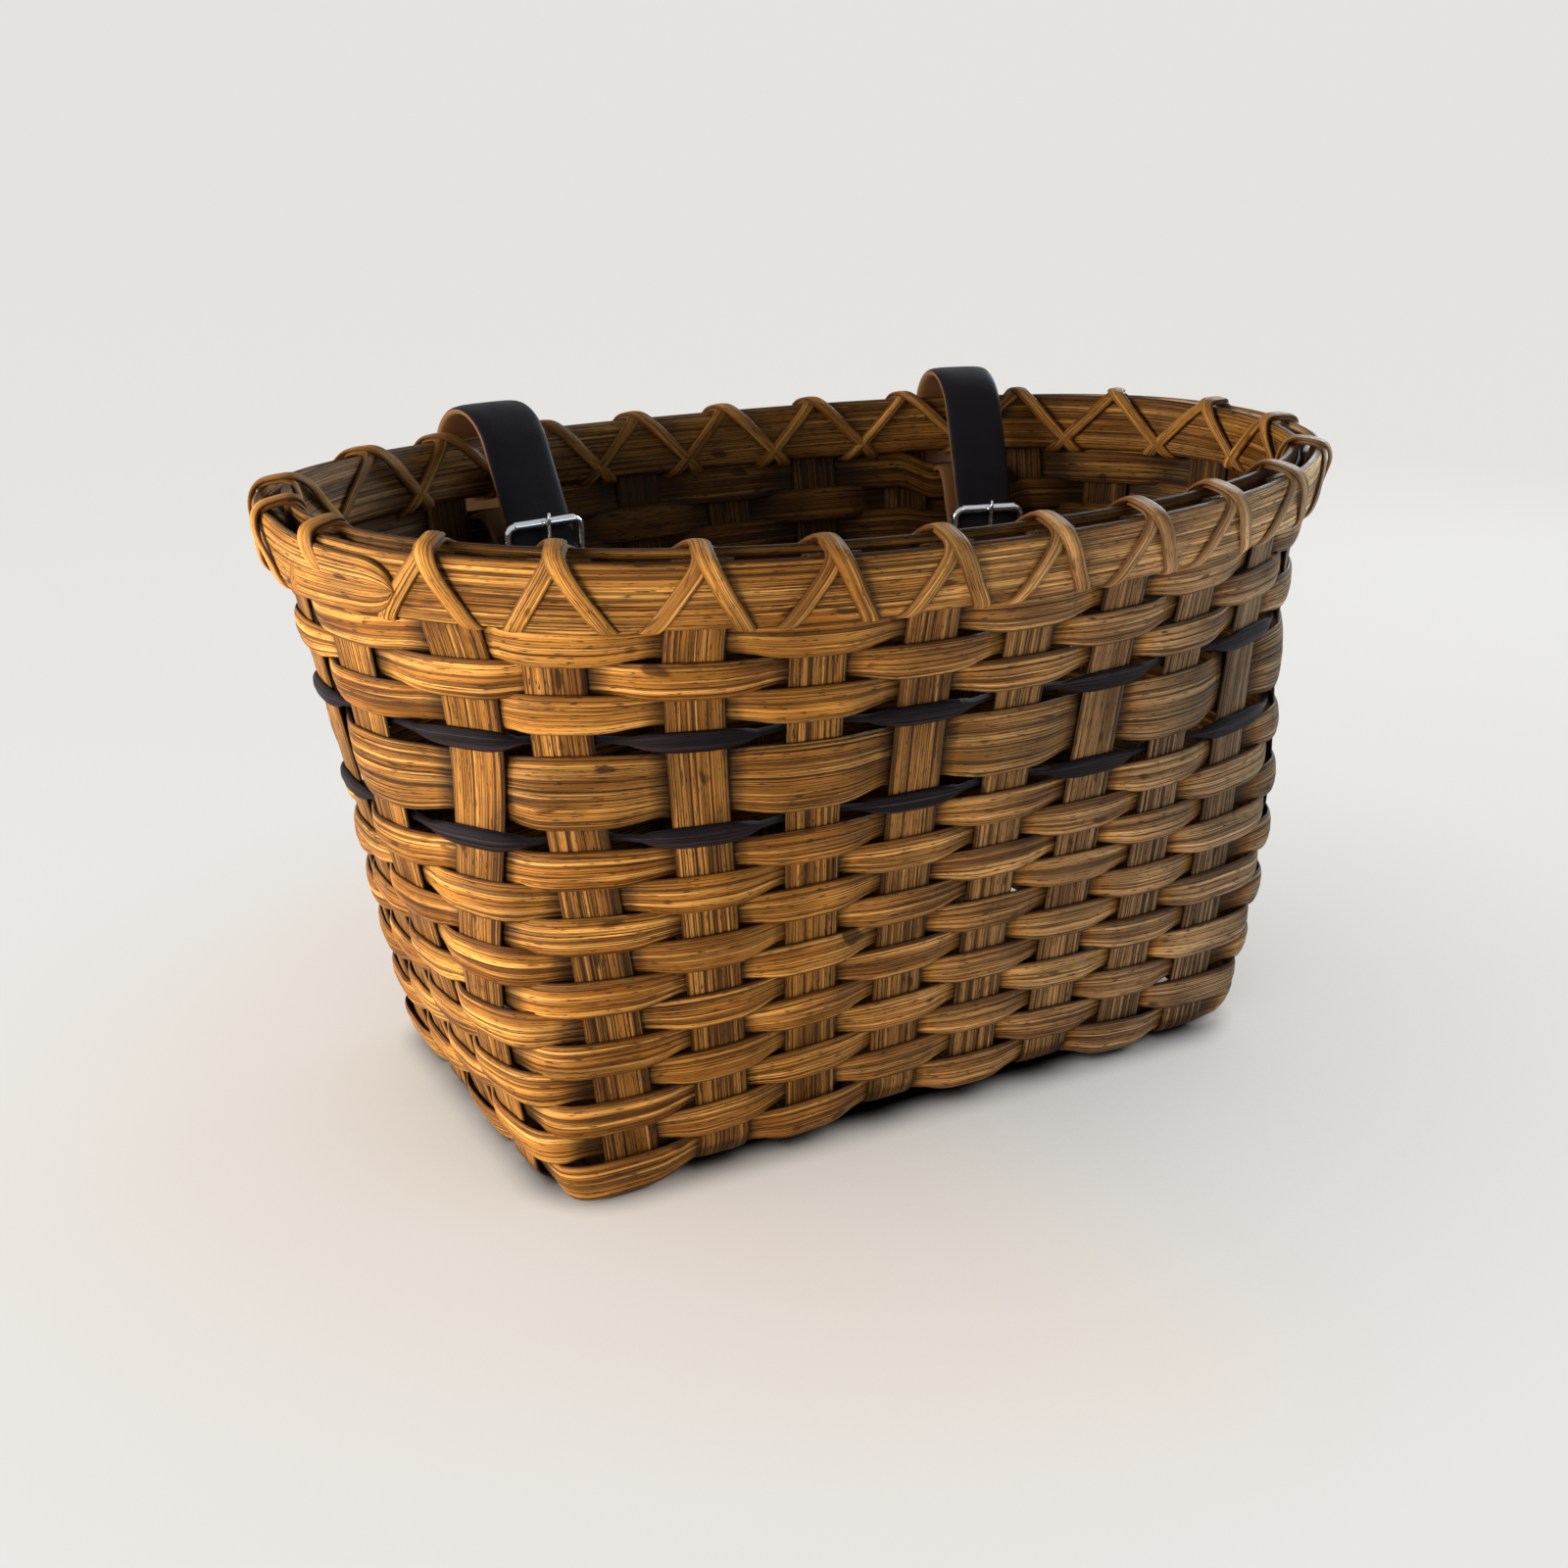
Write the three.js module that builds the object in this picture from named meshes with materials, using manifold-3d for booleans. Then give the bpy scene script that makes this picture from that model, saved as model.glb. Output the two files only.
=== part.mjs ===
// A hand-woven reed bicycle basket with two buckled leather straps round its rear rim.
// Millimetres, +Z up, +X along the length, +Y to the rear, origin on the ground under the middle of the base.
import * as THREE from "three";
import { mergeVertices } from "three/addons/utils/BufferGeometryUtils.js";
import Module from "manifold-3d";

// Form of the woven wall, measured to the middle of its thickness
const RIM_LENGTH = 323;
const RIM_WIDTH = 193;
const BASE_LENGTH = 234;
const BASE_WIDTH = 131;
const HEIGHT = 185;
const RIM_END_RISE = 3;
const BASE_ARCH = 5;
const LEFT_BELLY = 3;
const RIGHT_BELLY = 12;
const SIDE_HOLLOW = 4;
const RIM_SQUARENESS = 2.2;
const BASE_SQUARENESS = 10;
const SQUARENESS_FALL = 3.2;

// Stakes, the upright flat reeds that also make the base
const CROSS_STAKES = 8;
const LONG_STAKES = 4;
const STAKE_WIDTH = 15.9;
const STAKE_THICKNESS = 1.5;
const CROSS_BASE_SETBACK = 21.1;
const LONG_BASE_SETBACK = 24.4;
const CROSS_RIM_SETBACK = 49.5;
const RIGHT_RIM_SETBACK = 47;
const LEFT_RIM_SETBACK = 52;
const CROSS_LEAN = -3;
const RIGHT_LEAN = -2;
const LEFT_LEAN = -7;
const STAKE_FOLD_RADIUS = 3;
const STAKE_TOP_INSET = 1.5;
const SPREAD_FOLLOW_SHARE = 0.45;

// Weavers, the rows round the wall
const DYED_WIDTH = 6;
const WIDE_WIDTH = 19.6;
const WEAVER_THICKNESS = 1.1;
const ROWS_ABOVE_BAND = 3;
const ROWS_BELOW_BAND = 11;
const ROW_GAP = 0.18;
const BASE_FOLD_ALLOWANCE = 2.7;

// Rim bands and their lashing
const RIM_BAND_WIDTH = 18.6;
const RIM_BAND_THICKNESS = 3;
const RIM_EDGE_THICKNESS = 1.2;
const RIM_CROWN_WIDTH = 8;
const LASHING_WIDTH = 4.6;
const LASHING_THICKNESS = 0.9;
const LASHING_BEND_SHARE = 0.15;

// Straps, buckles and rivets
const LEFT_STRAP_SETBACK = 89.5;
const RIGHT_STRAP_SETBACK = 63;
const LEFT_STRAP_DRAPE = 62;
const RIGHT_STRAP_DRAPE = 66;
const STRAP_WIDTH = 20;
const STRAP_THICKNESS = 3.2;
const STRAP_TURN = 0.6;
const LOOP_LIFT = 1;
const LEFT_BUCKLE_DISTANCE = 27;
const RIGHT_BUCKLE_DISTANCE = 36;
const BILLET_TIP = 12;
const FOLD_STRAIGHT = 22;
const FOLD_BEND_SHARE = 0.4;
const FOLD_TAB = 9;
const FOLD_PINCH = 16;
const FOLD_SLOPE = 4;
const BAR_DIAMETER = 2.6;
const FRAME_LENGTH = 22;
const PRONG_DIAMETER = 2.2;
const PRONG_OVERHANG = 3.5;
const PRONG_LIFT = 10;
const HUB_WIDTH = 3.4;
const HUB_WALL = 1.2;
const RIVET_HEAD_DIAMETER = 8;
const RIVET_HEAD_HEIGHT = 1.2;
const RIVET_TOP_SHARE = 0.7;
const RIVET_SHANK_DIAMETER = 3.2;

// Clearances
const REED_GAP = 0.6;
const LASHING_GAP = 0.55;
const LASHING_LAYER_GAP = 0.8;
const LASHING_SIDE_GAP = 2.2;
const WEAVE_EASE = 1;
const STRAP_GAP = 0.6;
const STRAP_SIDE_GAP = 1.2;
const STRAP_SEAT_RISE = 0.25;
const METAL_GAP = 0.35;
const SLOT_EASE = 45;

// Fineness of the round and bent pieces
const ARM_STEPS = 12;
const ARC_DEGREES = 12;
const BEND_POINTS = 8;
const WIRE_SIDES = 8;
const TURNED_SIDES = 14;
const HEIGHT_PASSES = 8;

const wasm = await Module();
wasm.setup();

const up = new THREE.Vector3(0, 0, 1);
const { lerp, clamp, degToRad, smoothstep } = THREE.MathUtils;
const basket = new THREE.Group();

const REED = { color: 0xa06c30, roughness: 0.5, metalness: 0 };
const DYED_REED = { color: 0x2b2126, roughness: 0.5, metalness: 0 };
const LEATHER = { color: 0x241b18, roughness: 0.6, metalness: 0 };
const CHROME = { color: 0xd0d4d8, roughness: 0.15, metalness: 1 };

function addPiece(name, geometry, finish) {
  const mesh = new THREE.Mesh(geometry, new THREE.MeshStandardMaterial(finish));
  mesh.name = name;
  basket.add(mesh);
}

// Solids: closed geometries as boolean operands and back

function toSolid(geometry) {
  const bare = new THREE.BufferGeometry();
  bare.setAttribute("position", geometry.getAttribute("position"));
  bare.setIndex(geometry.getIndex());
  const merged = mergeVertices(bare, 1e-4);
  return new wasm.Manifold(
    new wasm.Mesh({
      numProp: 3,
      vertProperties: merged.getAttribute("position").array,
      triVerts: new Uint32Array(merged.getIndex().array),
    }),
  );
}

function toGeometry(solid) {
  const mesh = solid.getMesh();
  const geometry = new THREE.BufferGeometry();
  geometry.setAttribute("position", new THREE.BufferAttribute(mesh.vertProperties, 3));
  geometry.setIndex(new THREE.BufferAttribute(mesh.triVerts, 1));
  return geometry;
}

// A strip is a section carried along stations, each with a point and the normal of the strip's broad face.
// A station may also fix the line that its section lies along.
// A section's points are (across, out), counter-clockwise as seen against the direction of travel.

function rectangle(width, thickness) {
  const across = width / 2;
  const out = thickness / 2;
  return [
    [-across, -out],
    [across, -out],
    [across, out],
    [-across, out],
  ];
}

function roundSection(diameter, sides) {
  const turn = (2 * Math.PI) / sides;
  const points = [];
  for (let i = 0; i < sides; i += 1) {
    points.push([(diameter / 2) * Math.cos(i * turn), (diameter / 2) * Math.sin(i * turn)]);
  }
  return points;
}

function strip(stations, section, closed) {
  const count = stations.length;
  const sides = section.length;
  const positions = [];
  stations.forEach((station, i) => {
    const before = stations[closed ? (i + count - 1) % count : Math.max(i - 1, 0)].point;
    const after = stations[closed ? (i + 1) % count : Math.min(i + 1, count - 1)].point;
    const arriving = station.point.clone().sub(before).normalize();
    const leaving = after.clone().sub(station.point).normalize();
    const along = arriving.clone().add(leaving).normalize();
    const ends = arriving.lengthSq() * leaving.lengthSq();
    const mitre = ends > 0 ? Math.sqrt(2 / (1 + arriving.dot(leaving))) : 1;
    const square = station.normal.clone().cross(along).normalize();
    const out = along.clone().cross(square).multiplyScalar(mitre);
    const line = station.line ?? square;
    const across = line.clone().multiplyScalar(Math.sign(line.dot(square)));
    for (const [a, b] of section) {
      const corner = station.point.clone().addScaledVector(across, a).addScaledVector(out, b);
      positions.push(corner.x, corner.y, corner.z);
    }
  });
  const index = [];
  const spans = closed ? count : count - 1;
  for (let i = 0; i < spans; i += 1) {
    const here = i * sides;
    const next = ((i + 1) % count) * sides;
    for (let j = 0; j < sides; j += 1) {
      const k = (j + 1) % sides;
      index.push(here + j, here + k, next + k, here + j, next + k, next + j);
    }
  }
  if (!closed) {
    const last = (count - 1) * sides;
    for (let j = 1; j < sides - 1; j += 1) {
      index.push(0, j + 1, j, last, last + j, last + j + 1);
    }
  }
  const geometry = new THREE.BufferGeometry();
  geometry.setAttribute("position", new THREE.BufferAttribute(new Float32Array(positions), 3));
  geometry.setIndex(index);
  return geometry;
}

// Wall form: each level is a squared oval whose two ends have their own length

function level(z) {
  const share = z / HEIGHT;
  const belly = 4 * share * (1 - share);
  const straight = lerp(BASE_LENGTH, RIM_LENGTH, share) / 2;
  const fall = Math.pow(1 - clamp(share, 0, 1), SQUARENESS_FALL);
  return {
    left: straight + LEFT_BELLY * belly,
    right: straight + RIGHT_BELLY * belly,
    side: lerp(BASE_WIDTH, RIM_WIDTH, share) / 2 - SIDE_HOLLOW * belly,
    power: RIM_SQUARENESS + (BASE_SQUARENESS - RIM_SQUARENESS) * fall,
  };
}

function ovalShare(share, power) {
  return Math.pow(1 - Math.pow(Math.min(Math.abs(share), 1), power), 1 / power);
}

function sidePoint(x, z, facing) {
  const form = level(z);
  const half = x < 0 ? form.left : form.right;
  return new THREE.Vector3(x, facing * form.side * ovalShare(x / half, form.power), z);
}

function endPoint(y, z, facing) {
  const form = level(z);
  const half = facing < 0 ? form.left : form.right;
  return new THREE.Vector3(facing * half * ovalShare(y / form.side, form.power), y, z);
}

function levelOutward(point) {
  const form = level(point.z);
  const half = point.x < 0 ? form.left : form.right;
  const grow = form.power - 1;
  return new THREE.Vector3(
    (Math.sign(point.x) * Math.pow(Math.abs(point.x / half), grow)) / half,
    (Math.sign(point.y) * Math.pow(Math.abs(point.y / form.side), grow)) / form.side,
    0,
  ).normalize();
}

// Base form: the outer cross stakes lie flat on the ground, and the base arches up between them

const lap = (STAKE_THICKNESS + REED_GAP) / 2;
const groundLevel = lap + STAKE_THICKNESS / 2;
const stakeEase = STAKE_WIDTH / 2 + WEAVE_EASE;
const outerCross = BASE_LENGTH / 2 - CROSS_BASE_SETBACK;
const archHalf = outerCross - stakeEase;

function baseLevel(x) {
  return groundLevel + BASE_ARCH * Math.max(0, 1 - (x / archHalf) ** 2);
}

function baseFrame(x) {
  const slope = Math.abs(x) < archHalf ? (-2 * BASE_ARCH * x) / archHalf ** 2 : 0;
  const along = new THREE.Vector3(1, 0, slope).normalize();
  return { along, upward: new THREE.Vector3(-along.z, 0, along.x) };
}

// Rim levels: the rim rises a little towards both ends

function rimTop(point) {
  return HEIGHT + RIM_END_RISE * (point.x / (RIM_LENGTH / 2)) ** 2;
}

function rimMiddle(point) {
  return rimTop(point) - RIM_BAND_WIDTH / 2;
}

const weaveOffset = (STAKE_THICKNESS + WEAVER_THICKNESS) / 2 + REED_GAP;
const wallHalf = weaveOffset + WEAVER_THICKNESS / 2;
const bandOffset = wallHalf + REED_GAP;
const lashingBelow = LASHING_GAP + LASHING_THICKNESS;
const lashingLayer = LASHING_THICKNESS + LASHING_LAYER_GAP;

// Strap loop: a circle round the lashed rim, so that the strap slides round itself when it swings

const strapPlaces = [
  {
    side: "left",
    x: LEFT_STRAP_SETBACK - RIM_LENGTH / 2,
    drape: LEFT_STRAP_DRAPE,
    distance: LEFT_BUCKLE_DISTANCE,
  },
  {
    side: "right",
    x: RIM_LENGTH / 2 - RIGHT_STRAP_SETBACK,
    drape: RIGHT_STRAP_DRAPE,
    distance: RIGHT_BUCKLE_DISTANCE,
  },
];
const lashedCorner = bandOffset + RIM_EDGE_THICKNESS + lashingLayer;
const lashedDrop = RIM_BAND_WIDTH / 2 + lashingBelow + LOOP_LIFT;
const lashedRise = RIM_BAND_WIDTH / 2 + lashingBelow + lashingLayer - LOOP_LIFT;
const lashedReach = Math.hypot(lashedCorner, Math.max(lashedDrop, lashedRise));

function rearRimPoint(x) {
  return sidePoint(x, rimMiddle({ x }), 1);
}

function strapHeading(x) {
  const outward = levelOutward(rearRimPoint(x));
  return Math.atan2(outward.x, outward.y);
}

const rimTurns = strapPlaces.map((place) => Math.abs(strapHeading(place.x)) * (1 - STRAP_TURN));
const skew = (STRAP_WIDTH / 2) * Math.sin(Math.max(...rimTurns));
const loopInner = lashedReach + skew + STRAP_GAP;
const loopOuter = loopInner + STRAP_THICKNESS;
const loopRadius = (loopInner + loopOuter) / 2;

// Rows hang below the rim, lower at the two strap slots of the rear wall, where a strap rests on the top row

const rowHeadroom = RIM_BAND_WIDTH + lashingBelow + LASHING_GAP;
const slotHalf = STRAP_WIDTH / 2 + STRAP_SIDE_GAP + STAKE_WIDTH + WEAVE_EASE;
const slotDrop = loopOuter - STRAP_SEAT_RISE - LOOP_LIFT + RIM_BAND_WIDTH / 2 - rowHeadroom;

function slotDip(point) {
  if (point.y <= 0) {
    return 0;
  }
  const ramps = strapPlaces.map((place) => {
    const slot = sidePoint(place.x, point.z, 1);
    return 1 - smoothstep(point.distanceTo(slot), slotHalf, slotHalf + SLOT_EASE);
  });
  return slotDrop * Math.max(...ramps);
}

function rowCeiling(point) {
  return rimTop(point) - rowHeadroom - slotDip(point);
}

function rowFloor(point) {
  return baseLevel(point.x) + BASE_FOLD_ALLOWANCE;
}

// Stakes: where each one stands at the base and at the rim

function evenPlaces(count, length, setback, lean) {
  const outer = length / 2 - setback;
  return Array.from({ length: count }, (_, i) => lerp(-outer, outer, i / (count - 1)) + lean);
}

const crossBase = evenPlaces(CROSS_STAKES, BASE_LENGTH, CROSS_BASE_SETBACK, 0);
const longBase = evenPlaces(LONG_STAKES, BASE_WIDTH, LONG_BASE_SETBACK, 0);
const frontRim = evenPlaces(CROSS_STAKES, RIM_LENGTH, CROSS_RIM_SETBACK, CROSS_LEAN);
const rightRim = evenPlaces(LONG_STAKES, RIM_WIDTH, RIGHT_RIM_SETBACK, RIGHT_LEAN);
const leftRim = evenPlaces(LONG_STAKES, RIM_WIDTH, LEFT_RIM_SETBACK, LEFT_LEAN);

// The rear stakes beside a strap are spread to let it through, and their neighbours follow part of the way
const rearRim = [...frontRim];
const slotSpread = (STRAP_WIDTH + STAKE_WIDTH) / 2 + STRAP_SIDE_GAP;
for (const place of strapPlaces) {
  const right = frontRim.findIndex((x) => x > place.x);
  const left = right - 1;
  rearRim[left] = place.x - slotSpread;
  rearRim[right] = place.x + slotSpread;
  if (left > 0) {
    rearRim[left - 1] += SPREAD_FOLLOW_SHARE * (rearRim[left] - frontRim[left]);
  }
  if (right < CROSS_STAKES - 1) {
    rearRim[right + 1] += SPREAD_FOLLOW_SHARE * (rearRim[right] - frontRim[right]);
  }
}

const fanTop = HEIGHT - rowHeadroom - slotDrop;

const WALL_FACING = {
  front: new THREE.Vector3(0, -1, 0),
  right: new THREE.Vector3(1, 0, 0),
  rear: new THREE.Vector3(0, 1, 0),
  left: new THREE.Vector3(-1, 0, 0),
};

// One upright half of a stake, which turns evenly from facing square at the foot to facing the rim's curve
class StakeArm {
  constructor(wall, base, rim, foot) {
    this.wall = wall;
    this.base = base;
    this.rim = rim;
    this.foot = foot;
    this.footFacing = WALL_FACING[wall];
    this.rimFacing = levelOutward(this.point(fanTop));
  }

  point(z) {
    const place = lerp(this.base, this.rim, clamp((z - this.foot) / (fanTop - this.foot), 0, 1));
    if (this.wall === "front" || this.wall === "rear") {
      return sidePoint(place, z, this.wall === "front" ? -1 : 1);
    }
    return endPoint(place, z, this.wall === "left" ? -1 : 1);
  }

  frame(z) {
    const point = this.point(z);
    const share = clamp((z - this.foot) / (fanTop - this.foot), 0, 1);
    const outward = this.footFacing.clone().lerp(this.rimFacing, share).normalize();
    const along = up.clone().cross(outward);
    const rise = this.point(z + 1).sub(this.point(z - 1)).normalize();
    const normal = along.clone().cross(rise).normalize();
    return { point, along, normal };
  }

  // A place beside the stake, on its own twisted face
  beside(z, ease) {
    const edge = (height) => {
      const { point, along } = this.frame(height);
      return point.addScaledVector(along, ease);
    };
    const { along } = this.frame(z);
    const rise = edge(z + 1).sub(edge(z - 1)).normalize();
    return { point: edge(z), normal: along.cross(rise).normalize() };
  }

  // Height at which the place beside the stake meets a rule for height over the ground plan
  height(rule, ease) {
    let z = fanTop;
    for (let i = 0; i < HEIGHT_PASSES; i += 1) {
      const { point, along } = this.frame(z);
      z = rule(point.addScaledVector(along, ease));
    }
    return z;
  }
}

const frontArms = crossBase.map((x, i) => new StakeArm("front", x, frontRim[i], baseLevel(x)));
const rearArms = crossBase.map((x, i) => new StakeArm("rear", x, rearRim[i], baseLevel(x)));
const leftArms = longBase.map((y, i) => new StakeArm("left", y, leftRim[i], groundLevel));
const rightArms = longBase.map((y, i) => new StakeArm("right", y, rightRim[i], groundLevel));

// All arms in order round the basket, counter-clockwise from the front left
const ring = [...frontArms, ...rightArms, ...rearArms.toReversed(), ...leftArms.toReversed()];

// A stake runs down one wall, under the base and up the opposite wall

function armStations(arm) {
  const foot = arm.foot + STAKE_FOLD_RADIUS;
  const head = arm.height(rimTop, 0) - STAKE_TOP_INSET;
  const stations = [];
  for (let i = 0; i <= ARM_STEPS; i += 1) {
    const { point, normal, along } = arm.frame(lerp(head, foot, i / ARM_STEPS));
    stations.push({ point, normal, line: along });
  }
  const edge = arm.point(arm.foot);
  const outward = arm.footFacing;
  const cut = STAKE_FOLD_RADIUS * (1 - Math.SQRT1_2);
  const bend = edge.clone().addScaledVector(outward, -cut).addScaledVector(up, cut);
  stations.push({ point: bend, normal: outward.clone().sub(up).normalize() });
  const inner = edge.clone().addScaledVector(outward, -STAKE_FOLD_RADIUS);
  stations.push({ point: inner, normal: up.clone().negate() });
  return stations;
}

function crossLift(i, j) {
  return (i + j) % 2 === 0 ? lap : -lap;
}

const stakeSection = rectangle(STAKE_WIDTH, STAKE_THICKNESS);

crossBase.forEach((x, i) => {
  const { upward } = baseFrame(x);
  const middle = [];
  longBase.forEach((y, j) => {
    for (const ease of [-stakeEase, stakeEase]) {
      const point = new THREE.Vector3(x, y + ease, baseLevel(x));
      point.addScaledVector(upward, crossLift(i, j));
      middle.push({ point, normal: upward.clone().negate() });
    }
  });
  const stations = [...armStations(frontArms[i]), ...middle, ...armStations(rearArms[i]).reverse()];
  addPiece("cross_stake_" + (i + 1), strip(stations, stakeSection, false), REED);
});

longBase.forEach((y, j) => {
  const middle = [];
  crossBase.forEach((x, i) => {
    const { along, upward } = baseFrame(x);
    for (const ease of [-stakeEase, stakeEase]) {
      const point = new THREE.Vector3(x, y, baseLevel(x)).addScaledVector(along, ease);
      point.addScaledVector(upward, -crossLift(i, j));
      middle.push({ point, normal: upward.clone().negate() });
    }
  });
  const stations = [...armStations(leftArms[j]), ...middle, ...armStations(rightArms[j]).reverse()];
  addPiece("long_stake_" + (j + 1), strip(stations, stakeSection, false), REED);
});

// A ring of stations round the wall: two at each stake, and one in the gap at each corner

function cornerStation(arm, next, z) {
  const form = level(z);
  const angles = [arm, next].map((side) => {
    const point = side.point(z);
    return Math.atan2(point.y / form.side, point.x / (point.x < 0 ? form.left : form.right));
  });
  const angle = angles[0] + (((angles[1] - angles[0] + 3 * Math.PI) % (2 * Math.PI)) - Math.PI) / 2;
  const c = Math.cos(angle);
  const s = Math.sin(angle);
  const reach = Math.pow(Math.abs(c) ** form.power + Math.abs(s) ** form.power, -1 / form.power);
  const half = c < 0 ? form.left : form.right;
  const point = new THREE.Vector3(half * reach * c, form.side * reach * s, z);
  return { point, normal: arm.frame(z).normal.add(next.frame(z).normal).normalize() };
}

function wallRing(rule, offsetAt) {
  const stations = [];
  ring.forEach((arm, i) => {
    for (const ease of [-stakeEase, stakeEase]) {
      const { point, normal } = arm.beside(arm.height(rule, ease), ease);
      point.addScaledVector(normal, offsetAt(i));
      stations.push({ point, normal, arm: i });
    }
    const next = ring[(i + 1) % ring.length];
    if (next.wall !== arm.wall) {
      const middle = (arm.height(rule, stakeEase) + next.height(rule, -stakeEase)) / 2;
      const corner = cornerStation(arm, next, middle);
      corner.point.addScaledVector(corner.normal, (offsetAt(i) + offsetAt(i + 1)) / 2);
      stations.push(corner);
    }
  });
  return stations;
}

// Weaver rows from the rim down: plain rows, the wide row between its two dyed rows, plain rows to the base

const headroom = Math.min(
  ...ring.map((arm) => {
    const point = arm.point(fanTop);
    return rowCeiling(point) - rowFloor(arm.point(arm.foot));
  }),
);
const bandWidths = [DYED_WIDTH, WIDE_WIDTH, DYED_WIDTH];
const bandTotal = bandWidths.reduce((sum, width) => sum + width + ROW_GAP, 0);
const plainRows = ROWS_ABOVE_BAND + ROWS_BELOW_BAND;
const weaverWidth = (headroom - bandTotal) / plainRows - ROW_GAP;
const upperWidths = Array(ROWS_ABOVE_BAND).fill(weaverWidth);
const lowerWidths = Array(ROWS_BELOW_BAND).fill(weaverWidth);
const rowWidths = [...upperWidths, ...bandWidths, ...lowerWidths];

let rowDepth = 0;
rowWidths.forEach((width, row) => {
  const share = 1 - (rowDepth + (width + ROW_GAP) / 2) / headroom;
  rowDepth += width + ROW_GAP;
  const stations = wallRing(
    (point) => lerp(rowFloor(point), rowCeiling(point), share),
    (i) => ((i + row) % 2 === 0 ? weaveOffset : -weaveOffset),
  );
  const dyed = width === DYED_WIDTH;
  const name = "weaver_row_" + String(row + 1).padStart(2, "0");
  addPiece(name, strip(stations, rectangle(width, WEAVER_THICKNESS), true), dyed ? DYED_REED : REED);
});

// Rim: a hidden top row, clamped with the stake ends between an outer and an inner band

const rimRow = wallRing(rimMiddle, (i) => (i % 2 === 0 ? -weaveOffset : weaveOffset));
addPiece("rim_weaver", strip(rimRow, rectangle(weaverWidth, WEAVER_THICKNESS), true), REED);

const bandSection = [
  [-RIM_BAND_WIDTH / 2, 0],
  [RIM_BAND_WIDTH / 2, 0],
  [RIM_BAND_WIDTH / 2, RIM_EDGE_THICKNESS],
  [RIM_CROWN_WIDTH / 2, RIM_BAND_THICKNESS],
  [-RIM_CROWN_WIDTH / 2, RIM_BAND_THICKNESS],
  [-RIM_BAND_WIDTH / 2, RIM_EDGE_THICKNESS],
];

for (const [name, facing] of [
  ["outer_rim_band", 1],
  ["inner_rim_band", -1],
]) {
  const stations = wallRing(rimMiddle, () => facing * bandOffset);
  stations.forEach((station) => (station.normal = station.normal.clone().multiplyScalar(facing)));
  addPiece(name, strip(stations, bandSection, true), REED);
}

// The rim's own line, to walk along by length

const rimLine = wallRing(rimMiddle, () => 0);
const rimLengths = [0];
rimLine.forEach((station, i) => {
  const next = rimLine[(i + 1) % rimLine.length];
  rimLengths.push(rimLengths[i] + station.point.distanceTo(next.point));
});
const rimGirth = rimLengths[rimLine.length];
const stakePlaces = ring.map((_, i) => {
  const first = rimLine.findIndex((station) => station.arm === i);
  return rimLengths[first] + stakeEase;
});

function rimFrame(length) {
  const wrapped = ((length % rimGirth) + rimGirth) % rimGirth;
  const i = rimLengths.findLastIndex((start) => start <= wrapped) % rimLine.length;
  const next = rimLine[(i + 1) % rimLine.length];
  const share = (wrapped - rimLengths[i]) / (rimLengths[i + 1] - rimLengths[i]);
  const along = next.point.clone().sub(rimLine[i].point).normalize();
  const normal = rimLine[i].normal.clone().lerp(next.normal, share).normalize();
  return {
    point: rimLine[i].point.clone().lerp(next.point, share),
    normal,
    along,
    rise: normal.clone().cross(along).normalize(),
  };
}

// Lashing: each strip winds round the rim once per stake, up the outside and over the stake to the inside.
// The second strip winds the other way, one layer further out where they cross, and beside it between stakes.

const lashingHalf = LASHING_THICKNESS / 2;
const lashingCrown = bandOffset + RIM_BAND_THICKNESS + LASHING_GAP + lashingHalf;
const lashingCorner = bandOffset + RIM_EDGE_THICKNESS + LASHING_GAP + lashingHalf / 2;
const lashingEdge = RIM_BAND_WIDTH / 2 + LASHING_GAP + lashingHalf;
const lashingShoulder = (RIM_BAND_WIDTH + RIM_CROWN_WIDTH) / 4;
const lashingBeside = (LASHING_WIDTH + LASHING_SIDE_GAP) / 2;

function lashingStations(direction, layer) {
  const stations = [];
  const place = (length, out, rise, tilt) => {
    const frame = rimFrame(length);
    const point = frame.point.clone().addScaledVector(frame.normal, out);
    point.addScaledVector(frame.rise, rise);
    const normal = frame.normal.clone().multiplyScalar(Math.sign(out));
    normal.addScaledVector(frame.rise, tilt).normalize();
    stations.push({ point, normal, line: frame.along });
  };
  const order = direction > 0 ? stakePlaces : stakePlaces.toReversed();
  const top = lashingEdge + layer;
  const topCorner = lashingCorner + layer / 2;
  const upper = lashingCrown + layer;
  order.forEach((centre, i) => {
    const last = i === order.length - 1;
    const behind = i === 0 ? order.at(-1) - direction * rimGirth : order[i - 1];
    const ahead = last ? order[0] + direction * rimGirth : order[i + 1];
    const low = (behind + centre) / 2 + direction * lashingBeside;
    const next = (centre + ahead) / 2 + direction * lashingBeside;
    const bend = Math.max(1 - stakeEase / Math.abs(centre - low), LASHING_BEND_SHARE);
    place(low, lashingCorner, -lashingEdge, -1);
    place(low, lashingCrown, -lashingShoulder, 0);
    place(lerp(low, centre, bend), lashingCrown + layer * bend, lashingShoulder * (2 * bend - 1), 0);
    place(centre, upper, lashingShoulder, 0);
    place(centre, topCorner, top, 1);
    place(centre, -topCorner, top, 1);
    place(centre, -upper, lashingShoulder, 0);
    if (last) {
      place(lerp(centre, next, 1 / 2), -upper, 0, 0);
    } else {
      place(next, -upper, -lashingShoulder, 0);
      place(next, -lashingCorner, -lashingEdge, -1);
    }
  });
  return stations;
}

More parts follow.
